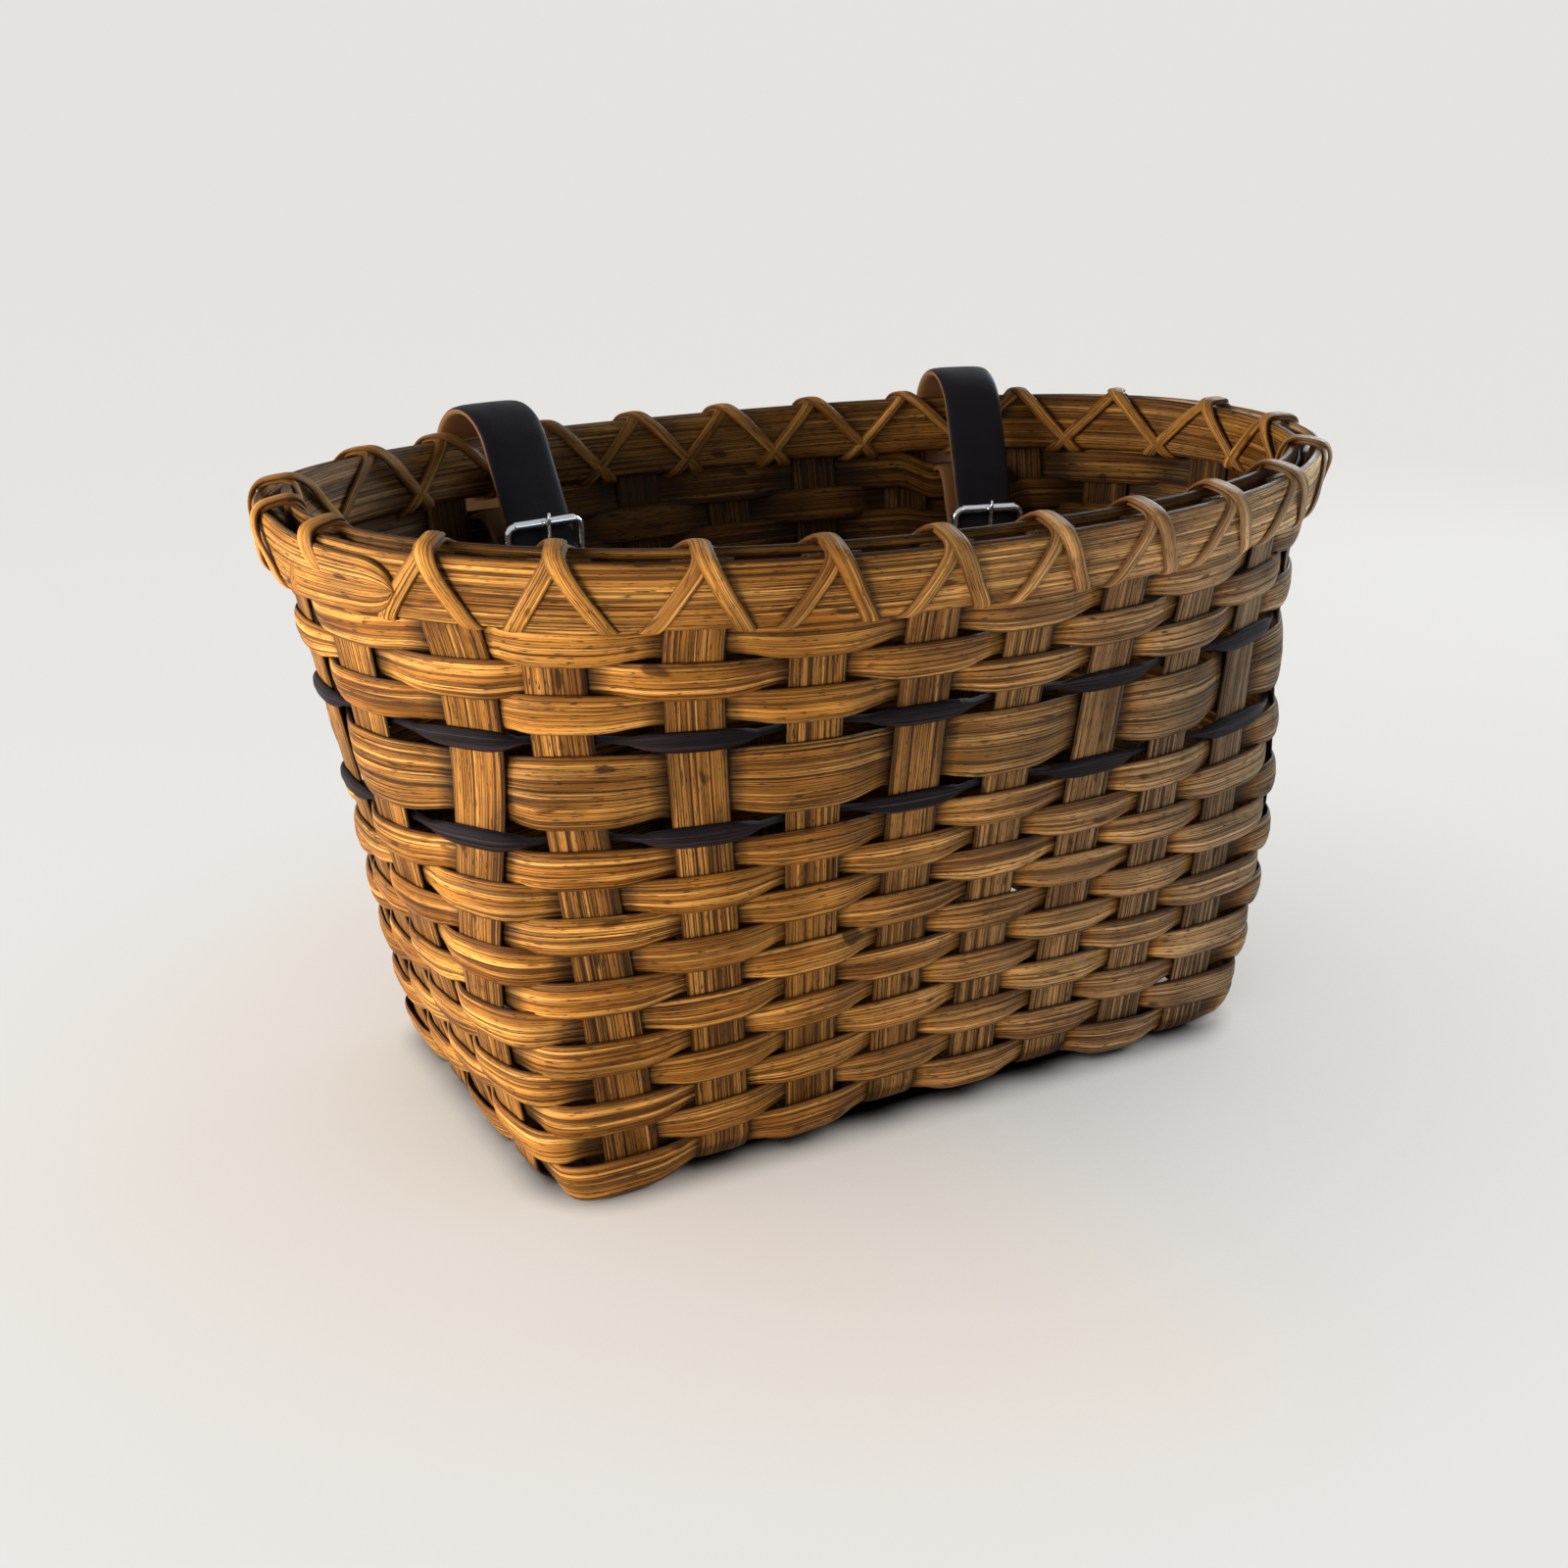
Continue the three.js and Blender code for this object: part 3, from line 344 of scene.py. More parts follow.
def reed_grain_group():
    """Stained reed: long fibres, broad streaks, dark pores and slow changes of tone along the grain map.
    Painted shade darkens the reed's edges and where it is tucked behind a stake, and a painted pale, greyed
    sheen of light lies on the outside toward the right end."""
    group = bpy.data.node_groups.new("reed grain", "ShaderNodeTree")
    for way, kind, labels in (
        ("INPUT", "Color", ("Pale", "Honey", "Brown", "Dark grain and edge shade")),
        ("INPUT", "Float", ("Tucked shade", "Line depth", "Right sheen")),
        ("OUTPUT", "Color", ("Stain with painted light",)),
        ("OUTPUT", "Float", ("Fibre height", "Polish")),
    ):
        for label in labels:
            group.interface.new_socket(label, in_out=way, socket_type="NodeSocket" + kind)
    nodes = group.nodes
    given = nodes.new("NodeGroupInput").outputs
    result = nodes.new("NodeGroupOutput").inputs
    grain = grain_map(group)

    def fibres(along, across, detail, rough):
        scale = nodes.new("ShaderNodeMapping")
        scale.inputs["Scale"].default_value = (along, across, 1)
        group.links.new(grain, scale.inputs["Vector"])
        node = cloud(group, scale.outputs["Vector"], 1, detail)
        node.noise_dimensions = "2D"
        node.inputs["Roughness"].default_value = rough
        return node.outputs["Fac"]

    def blend(share, first, second, mode="MIX"):
        node = nodes.new("ShaderNodeMix")
        node.data_type = "RGBA"
        node.blend_type = mode
        sockets = {socket.identifier: socket for socket in node.inputs}
        connect(group, share, sockets["Factor_Float"])
        connect(group, first, sockets["A_Color"])
        connect(group, second, sockets["B_Color"])
        return next(socket for socket in node.outputs if socket.identifier == "Result_Color")

    fine = fibres(14, 2900, 3, 0.65)
    line = fibres(5, 1250, 2, 0.5)
    streak = fibres(9, 600, 3, 0.6)
    tone = fibres(24, 55, 2, 0.5)
    pore = fibres(190, 2400, 2, 0.6)
    patch = fibres(40, 130, 2, 0.5)
    knot = fibres(75, 190, 1, 0.4)
    tuck = marked(group, "tuck")
    stain_and_shade = blend(remap(group, tone, 0.38, 0.62), given["Brown"], given["Honey"])
    stain_and_shade = blend(remap(group, streak, 0.49, 0.64), stain_and_shade, given["Pale"])
    for dark in (
        reckon(group, "MULTIPLY", remap(group, line, 0.4, 0.47, 1, 0), given["Line depth"]),
        remap(group, fine, 0.37, 0.48, 0.9, 0),
        remap(group, pore, 0.63, 0.68, 0, 0.9),
        remap(group, knot, 0.74, 0.8, 0, 0.8),
        # painted shade along the strip's edges, in the same dark colour as the pores and lines
        remap(group, marked(group, "edge"), 0.3, 0.95, 0, 0.8),
    ):
        stain_and_shade = blend(dark, stain_and_shade, given["Dark grain and edge shade"])
    stain_and_shade = blend(1, stain_and_shade, remap(group, patch, 0.3, 0.7, 0.72, 1.22), "MULTIPLY")
    # Painted shade: darker where the strip goes in behind a stake and on its back face, down to the Tucked
    # shade share.
    stain_and_shade = blend(1, stain_and_shade, remap(group, tuck, 0.04, 0.32, given["Tucked shade"], 1), "MULTIPLY")
    # Painted light: the outer faces turn paler and greyer toward the right end, a painted sheen.
    rightward = remap(group, own_place(group)["X"], -0.05, 0.16)
    sheen_share = reckon(group, "MULTIPLY", rightward, remap(group, tuck, 0.2, 0.6))
    sheen_tint = nodes.new("ShaderNodeHueSaturation")
    connect(group, remap(group, sheen_share, 0, 1, 0.5, 0.509), sheen_tint.inputs["Hue"])
    connect(group, remap(group, sheen_share, 0, 1, 1, 0.74), sheen_tint.inputs["Saturation"])
    connect(group, reckon(group, "MULTIPLY_ADD", sheen_share, given["Right sheen"], 1), sheen_tint.inputs["Value"])
    connect(group, stain_and_shade, sheen_tint.inputs["Color"])
    connect(group, sheen_tint.outputs["Color"], result["Stain with painted light"])
    connect(group, remap(group, fine, 0.3, 0.7), result["Fibre height"])
    connect(group, remap(group, fine, 0.3, 0.7, 0.62, 0.4), result["Polish"])
    return group


reed_grain = reed_grain_group()


def new_finish(name):
    finish = bpy.data.materials.new(name)
    finish.use_nodes = True
    return finish, finish.node_tree, finish.node_tree.nodes["Principled BSDF"]


# tucked sets how dark the painted shade goes, and the last argument sets how strong the painted sheen at the
# right end is.
def reed_material(name, pale, honey, brown, pore, tucked, lines, sheen=0.13, right_sheen=0.1):
    finish, tree, surface = new_finish(name)
    reed = tree.nodes.new("ShaderNodeGroup")
    reed.node_tree = reed_grain
    for label, colour in (("Pale", pale), ("Honey", honey), ("Brown", brown), ("Dark grain and edge shade", pore)):
        reed.inputs[label].default_value = (*colour, 1)
    reed.inputs["Tucked shade"].default_value = tucked
    reed.inputs["Line depth"].default_value = lines
    reed.inputs["Right sheen"].default_value = right_sheen
    surface.inputs["Specular IOR Level"].default_value = sheen
    relief = tree.nodes.new("ShaderNodeBump")
    relief.inputs["Strength"].default_value = 0.5
    relief.inputs["Distance"].default_value = 0.00025
    tree.links.new(reed.outputs["Fibre height"], relief.inputs["Height"])
    tree.links.new(reed.outputs["Stain with painted light"], surface.inputs["Base Color"])
    tree.links.new(reed.outputs["Polish"], surface.inputs["Roughness"])
    tree.links.new(relief.outputs["Normal"], surface.inputs["Normal"])
    return finish


# The stakes' inner faces and their feet take painted shade, down to the tucked share.
stake_finish = reed_material(
    "stained stake reed",
    pale=(0.54, 0.25, 0.055),
    honey=(0.38, 0.156, 0.027),
    brown=(0.21, 0.077, 0.011),
    pore=(0.022, 0.008, 0.002),
    tucked=0.4,
    lines=0.82,
)


def dress(piece, node, finish, body="basket"):
    piece.data.materials.append(finish)
    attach(piece, body)
    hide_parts(node)


ARM_STEPS = 44
FOLD_STEPS = 6
LAP_STEPS = 8
# Painted shade on each stake's foot: it darkens from a little above the fold, round the fold and under the
# base.
FOOT_TUCK = -0.95
FOOT_SHADE_FROM = 4
FOOT_SHADE_RUN = 8
stake_section = reed_section(STAKE_WIDTH, STAKE_THICKNESS, STAKE_CROWN)


def arm_stations(arm):
    """Down the wall from the rim, and round the fold to the base."""
    head = arm.height(rim_top) - STAKE_TOP_INSET
    lowest = arm.foot + STAKE_FOLD
    stations = []
    for k in range(ARM_STEPS + 1):
        z = between(head, lowest, k / ARM_STEPS)
        # light is the share left unshaded by the painted shade at the foot.
        light = ease((z - arm.foot - FOOT_SHADE_FROM) / FOOT_SHADE_RUN)
        stations.append((arm.point(z), arm.along(z), arm.normal(z), 1, between(FOOT_TUCK, 1, light)))
    last, across, facing, _, _ = stations[-1]
    centre = last - facing * STAKE_FOLD
    centre.z = arm.foot + STAKE_FOLD
    for k in range(1, FOLD_STEPS + 1):
        out = facing.slerp(-UP, k / FOLD_STEPS)
        stations.append((centre + out * STAKE_FOLD, across, out, 1, FOOT_TUCK))
    return stations


def turned_back(stations):
    """The same stretch walked the other way."""
    return [(point, -across, *rest) for point, across, *rest in reversed(stations)]


def base_stations(places, lifts, start, end, point_at, across):
    """The stretch across the base, over and under the stakes that it crosses."""
    stops = [start] + list(places) + [end]
    levels = [0] + list(lifts) + [0]
    stations = []
    for k in range(len(stops) - 1):
        for n in range(LAP_STEPS):
            if k == 0 and n == 0:
                continue
            share = n / LAP_STEPS
            place = between(stops[k], stops[k + 1], share)
            lift = between(levels[k], levels[k + 1], ease(share))
            stations.append((point_at(place) + UP * lift, across, -UP, 1, 1))
    return stations


def cross_lift(i, j):
    return STAKE_LAP if (i + j) % 2 == 0 else -STAKE_LAP


for i, x in enumerate(CROSS_BASE):
    front = arm_stations(front_arms[i])
    rear = arm_stations(rear_arms[i])
    flat = base_stations(
        LONG_BASE,
        [cross_lift(i, j) for j in range(len(LONG_BASE))],
        front[-1][0].y,
        rear[-1][0].y,
        lambda y, x=x: Vector((x, y, base_level(x))),
        Vector((1, 0, 0)),
    )
    whole = front + flat + turned_back(rear)
    stake = strip_piece(f"stake_across_{i + 1}", whole, stake_section, False, i)
    dress(stake, f"cross_stake_{i + 1}", stake_finish)

for j, y in enumerate(LONG_BASE):
    left = arm_stations(left_arms[j])
    right = arm_stations(right_arms[j])
    flat = base_stations(
        CROSS_BASE,
        [-cross_lift(i, j) for i in range(len(CROSS_BASE))],
        left[-1][0].x,
        right[-1][0].x,
        lambda x, y=y: Vector((x, y, base_level(x))),
        Vector((0, -1, 0)),
    )
    whole = left + flat + turned_back(right)
    stake = strip_piece(f"stake_along_{j + 1}", whole, stake_section, False, len(CROSS_BASE) + j)
    dress(stake, f"long_stake_{j + 1}", stake_finish)

# Weavers: flat oval reed woven over one stake and under the next, each row turned against the one below.
# Most rows are plain stained reed; a wide row near the top runs between two narrow rows dyed nearly black.
# Where a weaver comes out over a stake it swells to its full width, and it is pinched where the rows cross.
WEAVER_EDGE = 0.9
WEAVER_CROWN = 1.1
WEAVER_OUT = 1.45
WEAVER_IN = 2.25
REED_WIDTHS = {"plain": 8.3, "lowest": 8.3, "wide": 19.6, "dyed": 6}
ROW_KINDS = ["plain"] * 3 + ["dyed", "wide", "dyed"] + ["plain"] * 10 + ["lowest"]
ROW_GAP = 0.18
ROW_HEADROOM = 20.6
BASE_FOLD_ALLOWANCE = 2.7
SLOT_DROP = 5.95
SLOT_HALF = 10
SLOT_EASE = 14
STEPS_PER_STAKE = 18
CORNER_PULL = 0.3
LOW_CORNER_PULL = 0.8
LOW_CORNER_TOP = 90
TOP_ROW_LIFT = 0.8
TOP_ROW_PACKED_LIFT = 0.4
TOP_ROW_PACKED_SWELL = 0.12
LOWEST_ROW_DROP = 1.35
ROW_DRIFT = 0.4
ROW_UNEVENNESS = 0.04
SWELL_ROUNDNESS = 0.8
TUCKED_AT = 0.85
INSIDE_FROM = 0.86
REAR_PACKING = 1.7
PACKED_PINCH = 1.28
# Shares of the reed's width: over a stake, where rows cross, going in, behind a stake, and packed close.
ROW_FORMS = {
    "plain": (1.27, 1.05, 0.92, 1.15, 1.38),
    "lowest": (1.6, 1.32, 1.25, 1.5, 1.6),
    "wide": (1.07, 1.0, 0.92, 1.05, 1.1),
    "dyed": (1.02, 0.36, 0.3, 1.05, 1.25),
}


def slot_dip(point):
    if point.y <= 0:
        return 0
    ramps = []
    for strap_x in (LEFT_STRAP_X, RIGHT_STRAP_X):
        away = (point - wall_point("rear", strap_x, point.z)).length
        ramps.append(1 - ease((away - SLOT_HALF) / SLOT_EASE))
    return SLOT_DROP * max(ramps)


def row_rule(share):
    def rule(point):
        floor = base_level(point.x) + BASE_FOLD_ALLOWANCE
        return between(floor, rim_top(point) - ROW_HEADROOM, share)

    return rule


class WallRing:
    """A closed line round the wall at a ruled height, smooth through every stake, with its own frame."""

    def __init__(self, rule, reach=4):
        self.lines = [self.knots(rule, lift) for lift in (-reach, 0, reach)]
        self.count = len(ring_arms)

    def knots(self, rule, lift):
        points = []
        ways = []
        for arm in ring_arms:
            z = arm.height(rule) + lift
            points.append(arm.point(z))
            ways.append(arm.along(z))
        spans = []
        for k, point in enumerate(points):
            after = points[(k + 1) % len(points)]
            chord = (after - point).length
            turn = ways[k].angle(ways[(k + 1) % len(points)])
            sharp = CORNER_PULL + LOW_CORNER_PULL * clamp(1 - point.z / LOW_CORNER_TOP)
            pull = chord * (1 + sharp * turn / (math.pi / 2))
            slope_here = (after.z - points[k - 1].z) / (after - points[k - 1]).length
            beyond = points[(k + 2) % len(points)]
            slope_next = (beyond.z - point.z) / (beyond - point).length
            start = (ways[k] + UP * slope_here) * pull
            end = (ways[(k + 1) % len(points)] + UP * slope_next) * pull
            spans.append((point, start, after, end))
        return spans

    def on_line(self, line, u):
        k = math.floor(u) % self.count
        t = u - math.floor(u)
        a, start, b, end = line[k]
        return (
            a * (2 * t**3 - 3 * t**2 + 1)
            + start * (t**3 - 2 * t**2 + t)
            + b * (3 * t**2 - 2 * t**3)
            + end * (t**3 - t**2)
        )

    def frame(self, u):
        point = self.on_line(self.lines[1], u)
        rise = (self.on_line(self.lines[2], u) - self.on_line(self.lines[0], u)).normalized()
        along = (self.on_line(self.lines[1], u + 0.01) - self.on_line(self.lines[1], u - 0.01)).normalized()
        out = along.cross(rise).normalized()
        return point, along, out.cross(along).normalized(), out


def weave_side(u, row):
    """From 1 well outside a stake to -1 well inside the next, flat over each stake."""
    swing = math.cos(math.pi * u) * (1 if row % 2 == 0 else -1)
    return swing * (1.5 - 0.5 * swing * swing)


def flat_oval_section(width, edge, crown, sides=20):
    """Flat oval reed: a flat back, thin rounded edges and an oval face to the outside."""
    points = []
    for c, s in round_section(sides):
        across = squared(c, 0.5)
        out = squared(s, 0.6) * edge / 2
        if s > 0:
            out += crown * (1 - across * across) ** 0.8
        points.append((across * width / 2, out))
    return points


def row_packing(kind, out):
    """From 0 where the weave is open to 1 where it is packed close: rear, right end and corners."""
    packed = ease(0.5 + out.x + REAR_PACKING * out.y)
    if kind in ("dyed", "wide"):
        return packed
    return max(packed, 4 * (out.x * out.y) ** 2)


def row_swell(kind, side, packed):
    over, crossing, going_in, behind, close = ROW_FORMS[kind]
    if side > 0:
        swell = between(crossing, over, side**SWELL_ROUNDNESS)
    else:
        swell = between(crossing, going_in, ease(-side / TUCKED_AT))
        swell = between(swell, behind, ease((-side - INSIDE_FROM) / (1 - INSIDE_FROM)))
    tight = between(max(crossing, PACKED_PINCH), close, abs(side) ** SWELL_ROUNDNESS)
    return between(swell, tight, packed)


# tucked sets how dark the painted shade goes where a weaver passes behind a stake and on its inner face.
plain_finish = reed_material(
    "stained weaver reed",
    pale=(0.84, 0.4, 0.09),
    honey=(0.54, 0.225, 0.036),
    brown=(0.31, 0.113, 0.014),
    pore=(0.05, 0.016, 0.003),
    tucked=0.16,
    lines=0.7,
)
wide_finish = reed_material(
    "stained wide reed",
    pale=(0.62, 0.3, 0.07),
    honey=(0.4, 0.168, 0.028),
    brown=(0.24, 0.09, 0.011),
    pore=(0.03, 0.01, 0.002),
    tucked=0.06,
    lines=0.8,
)
dyed_finish = reed_material(
    "dyed weaver reed",
    pale=(0.055, 0.032, 0.038),
    honey=(0.0145, 0.0085, 0.0108),
    brown=(0.0082, 0.0052, 0.007),
    pore=(0.003, 0.002, 0.0025),
    tucked=0.1,
    lines=0.5,
    sheen=0.1,
)
row_finishes = {"plain": plain_finish, "lowest": plain_finish, "wide": wide_finish, "dyed": dyed_finish}

stacked = sum(REED_WIDTHS[kind] + ROW_GAP for kind in ROW_KINDS)
depth = 0
for row, kind in enumerate(ROW_KINDS):
    width = REED_WIDTHS[kind]
    share = 1 - (depth + (width + ROW_GAP) / 2) / stacked
    depth += width + ROW_GAP
    ring = WallRing(row_rule(share))
    start = 1 + row % 2 + 2 * (row * 2 % 3)
    stations = []
    for k in range(ring.count * STEPS_PER_STAKE):
        u = start + k / STEPS_PER_STAKE
        point, _, rise, out = ring.frame(u)
        side = weave_side(u, row)
        packed = row_packing(kind, out)
        reach = between(-WEAVER_IN, WEAVER_OUT, (side + 1) / 2)
        lift = -LOWEST_ROW_DROP if kind == "lowest" else 0
        swell = 1 + ROW_UNEVENNESS * noise.noise(Vector((u * 0.5, row * 5.3, 9)))
        if row == 0:
            lift = TOP_ROW_LIFT + TOP_ROW_PACKED_LIFT * packed
            swell += TOP_ROW_PACKED_SWELL * packed
        lift -= slot_dip(point) * share**8
        lift += ROW_DRIFT * noise.noise(Vector((u * 0.35, row * 3.7, 0)))
        swell *= row_swell(kind, side, packed)
        stations.append((point + out * reach + rise * lift, rise, out, swell, side))
    section = flat_oval_section(width, WEAVER_EDGE, WEAVER_CROWN)
    weaver = strip_piece(f"weaver_{row + 1:02d}", stations, section, True, 20 + row)
    dress(weaver, f"weaver_row_{row + 1:02d}", row_finishes[kind])

# Rim: a hidden top row of weaver, then two wider half-round bands that clamp the stake ends between them.
# The outer band is scarfed: its rounded end laps over its own start near the front left corner.
RIM_BAND_WIDTH = 18.6
RIM_BAND_THICKNESS = 3
RIM_BAND_EDGE = 1.6
RIM_BAND_OFFSET = 2.75
RIM_STEPS = 20
HIDDEN_REACH = 1.75
HIDDEN_THICKNESS = 1.1
# Painted shade on the inner band's face, which also keeps the painted sheen off it.
INNER_TUCK = -0.7
SCARF_START = 21.95
SCARF_LAP = 0.85
SCARF_LIFT = 2.2
SCARF_LIFT_FROM = 1.6
SCARF_SINK = 0.9
SCARF_SINK_TO = 1.2
SCARF_ROUND = 0.28
SCARF_NARROW = 0.84
SCARF_TIP = 0.06


def rim_middle(point):
    return rim_top(point) - RIM_BAND_WIDTH / 2


rim_ring = WallRing(rim_middle)
hidden_stations = []
for k in range(rim_ring.count * STEPS_PER_STAKE):
    u = k / STEPS_PER_STAKE
    point, _, rise, out = rim_ring.frame(u)
    side = -weave_side(u, 0)
    hidden_stations.append((point + out * (HIDDEN_REACH * side), rise, out, 1, side))
hidden_section = reed_section(REED_WIDTHS["plain"], HIDDEN_THICKNESS, 0)
hidden_row = strip_piece("weaver_under_rim", hidden_stations, hidden_section, True, 40)
dress(hidden_row, "rim_weaver", plain_finish)

rim_finish = reed_material(
    "stained rim reed",
    pale=(0.8, 0.39, 0.092),
    honey=(0.52, 0.22, 0.038),
    brown=(0.29, 0.108, 0.014),
    pore=(0.035, 0.012, 0.003),
    tucked=0.5,
    lines=0.7,
    right_sheen=1.8,
)


def half_round_section(width, thickness, edge, sides=22):
    """A half-round band, flat on its back, with soft edges."""
    points = []
    for c, s in round_section(sides):
        if s > 0:
            out = edge / 2 + (thickness - edge / 2) * abs(s) ** 0.8
        else:
            out = edge / 2 * (1 - abs(s) ** 0.5)
        points.append((squared(c, 0.55) * width / 2, out))
    return points


def rounded_end(run, length):
    """The width share of a rounded end, from nothing at its tip to all of it at its length."""
    return math.sqrt(1 - clamp(1 - run / length) ** 2)


band_section = half_round_section(RIM_BAND_WIDTH, RIM_BAND_THICKNESS, RIM_BAND_EDGE)

outer_stations = []
turns = rim_ring.count + SCARF_LAP
for k in range(int(turns * RIM_STEPS) + 1):
    u = SCARF_START + k / RIM_STEPS
    left_over = SCARF_START + turns - u
    point, _, rise, out = rim_ring.frame(u)
    lift = SCARF_LIFT * ease(SCARF_LIFT_FROM - left_over)
    sunk = SCARF_SINK * ease(SCARF_SINK_TO - (u - SCARF_START))
    narrow = between(SCARF_NARROW, 1, ease((left_over - 0.2) / 1.2))
    wide = max(rounded_end(left_over, SCARF_ROUND) * narrow, SCARF_TIP)
    outer_stations.append((point + out * (RIM_BAND_OFFSET + lift - sunk), rise, out, wide, 1))
outer_band = strip_piece("rim_band_outside", outer_stations, band_section, False, 41)
dress(outer_band, "outer_rim_band", rim_finish)

inner_stations = []
for k in range(rim_ring.count * RIM_STEPS):
    point, _, rise, out = rim_ring.frame(k / RIM_STEPS)
    # The inner band carries painted shade on its face.
    inner_stations.append((point - out * RIM_BAND_OFFSET, rise, -out, 1, INNER_TUCK))
inner_band = strip_piece("rim_band_inside", inner_stations, band_section, True, 42)
dress(inner_band, "inner_rim_band", rim_finish)

# Lashing: two narrow flat reeds wind round the rim in opposite directions, through the wall below the bands.
# They meet over each stake as a pointed arch, the second strip on the first, and were pulled tight while wet.
LASHING_WIDTH = 5.6
LASHING_THICKNESS = 1.0
LASHING_CROWN = 0.35
LASHING_BESIDE = 4.6
LASHING_OUT = 6.5
LASHING_HIGH = 10
LASHING_STEPS = 44
LASHING_LAST_TURN = 0.8
# Painted shade on the lashing's inside turns, which also keeps the painted sheen off them.
LASHING_INNER_TUCK = -0.7
SECOND_LAYER = 1.15

span_lengths = []
for k in range(rim_ring.count):
    stops = [rim_ring.on_line(rim_ring.lines[1], k + n / 8) for n in range(9)]
    span_lengths.append(sum((b - a).length for a, b in zip(stops, stops[1:])))


def lashing_stations(way, layer):
    """One turn for each stake: up the outside to the stake, over the rim and down the inside."""
    stations = []
    for turn in range(rim_ring.count):
        stake = turn if way > 0 else rim_ring.count - turn
        behind = span_lengths[(stake - 1) % rim_ring.count if way > 0 else stake % rim_ring.count]
        ahead = span_lengths[stake % rim_ring.count if way > 0 else (stake - 1) % rim_ring.count]
        low = stake - way * (0.5 - LASHING_BESIDE / behind)
        following = stake + way * (0.5 + LASHING_BESIDE / ahead)
        last = turn == rim_ring.count - 1
        for n in range(LASHING_STEPS):
            if last and n > LASHING_STEPS * LASHING_LAST_TURN:
                break
            angle = -math.pi / 2 + 2 * math.pi * n / LASHING_STEPS
            high = squared(math.sin(angle), 0.62)
            side = squared(math.cos(angle), 0.55)
            outside = math.cos(angle) >= 0 and n < LASHING_STEPS / 2
            u = between(low if outside else following, stake, (high + 1) / 2)
            raised = layer * ease((high + 0.35) / 0.9)
            point, along, rise, out = rim_ring.frame(u)
            place = point + out * (side * (LASHING_OUT + raised)) + rise * (high * (LASHING_HIGH + raised))
            facing = out * (side / LASHING_OUT * LASHING_HIGH) + rise * high
            # tuck gives the inside turns painted shade.
            tuck = between(LASHING_INNER_TUCK, 1, ease(side + 0.6))
            stations.append((place, along, facing.normalized(), 1, tuck))
    return stations


lashing_finish = reed_material(
    "stained lashing reed",
    pale=(0.84, 0.42, 0.105),
    honey=(0.6, 0.268, 0.05),
    brown=(0.38, 0.15, 0.022),
    pore=(0.08, 0.027, 0.006),
    tucked=0.8,
    lines=0.35,
    right_sheen=0.7,
)
lashing_section = reed_section(LASHING_WIDTH, LASHING_THICKNESS, LASHING_CROWN, 16)
for name, node, way, layer, seed in (
    ("lashing_rising", "first_lashing", 1, 0, 43),
    ("lashing_crossing", "second_lashing", -1, SECOND_LAYER, 44),
):
    lashing = strip_piece(name, lashing_stations(way, layer), lashing_section, False, seed)
    dress(lashing, node, lashing_finish)

# Straps: dark bridle leather with raw tan edges, looped round the lashed rear rim.
# Each one runs from its rounded tip up over the rim, back in through the wall and down to a fold.
# The fold holds the buckle's heel bar.
STRAP_THICKNESS = 3.2
STRAP_LOOP = 16.9
STRAP_TURN = 0.6
LOOP_LIFT = 1
BILLET_TIP = 12
FRAME_LENGTH = 22
BAR_DIAMETER = 2.6
METAL_GAP = 0.35
FOLD_STRAIGHT = 22
FOLD_BEND = 0.4
FOLD_TAB = 9
FOLD_PINCH = math.radians(16)
FOLD_SLOPE = math.radians(4)
WALL_CLEAR = 3.05
TIP_ROUND = 11
TIP_BLUNT = 0.4
# Side, place along the rim, slope in degrees, distance from the rim to the buckle, and width.
STRAP_PLACES = (("left", LEFT_STRAP_X, 62, 27, 22.4), ("right", RIGHT_STRAP_X, 66, 36, 20))


def ramp(tree, share, *stops):
    """A colour that runs through stops of (place, colour)."""
    node = tree.nodes.new("ShaderNodeValToRGB")
    marks = node.color_ramp.elements
    for mark, (place, colour) in zip(marks, (stops[0], stops[-1])):
        mark.position = place
        mark.color = (*colour, 1)
    for place, colour in stops[1:-1]:
        marks.new(place).color = (*colour, 1)
    connect(tree, share, node.inputs["Fac"])
    return node.outputs["Color"]


leather_finish, leather, hide = new_finish("bridle leather")
hide.inputs["Specular IOR Level"].default_value = 0.12
layers = ramp(
    leather,
    marked(leather, "tuck"),
    (0, (0.2, 0.095, 0.04)),
    (0.55, (0.27, 0.12, 0.045)),
    (0.86, (0.0105, 0.0078, 0.0095)),
    (1, (0.0095, 0.007, 0.0095)),
)
pebble = leather.nodes.new("ShaderNodeTexVoronoi")
pebble.inputs["Scale"].default_value = 1700
crease = cloud(leather, grain_map(leather), 140, 4)
relief = leather.nodes.new("ShaderNodeBump")
relief.inputs["Strength"].default_value = 0.25
relief.inputs["Distance"].default_value = 0.0002
connect(leather, layers, hide.inputs["Base Color"])
connect(leather, grain_map(leather), pebble.inputs["Vector"])
connect(leather, pebble.outputs["Distance"], relief.inputs["Height"])
connect(leather, relief.outputs["Normal"], hide.inputs["Normal"])
connect(leather, remap(leather, crease.outputs["Fac"], 0.3, 0.7, 0.42, 0.6), hide.inputs["Roughness"])

bar_radius = BAR_DIAMETER / 2
fold_radius = bar_radius + METAL_GAP + STRAP_THICKNESS / 2
billet_to_bar = STRAP_THICKNESS / 2 + METAL_GAP + bar_radius
billet_to_heel = 1.5 * STRAP_THICKNESS + 2 * METAL_GAP + bar_radius
frame_run = math.sqrt(FRAME_LENGTH**2 - (billet_to_bar + billet_to_heel) ** 2)


def heading(angle):
    return Vector((math.cos(angle), math.sin(angle)))


def arc(centre, radius, start, end, step=math.radians(5)):
    count = max(2, math.ceil(abs(end - start) / step))
    return [centre + heading(between(start, end, k / count)) * radius for k in range(count + 1)]


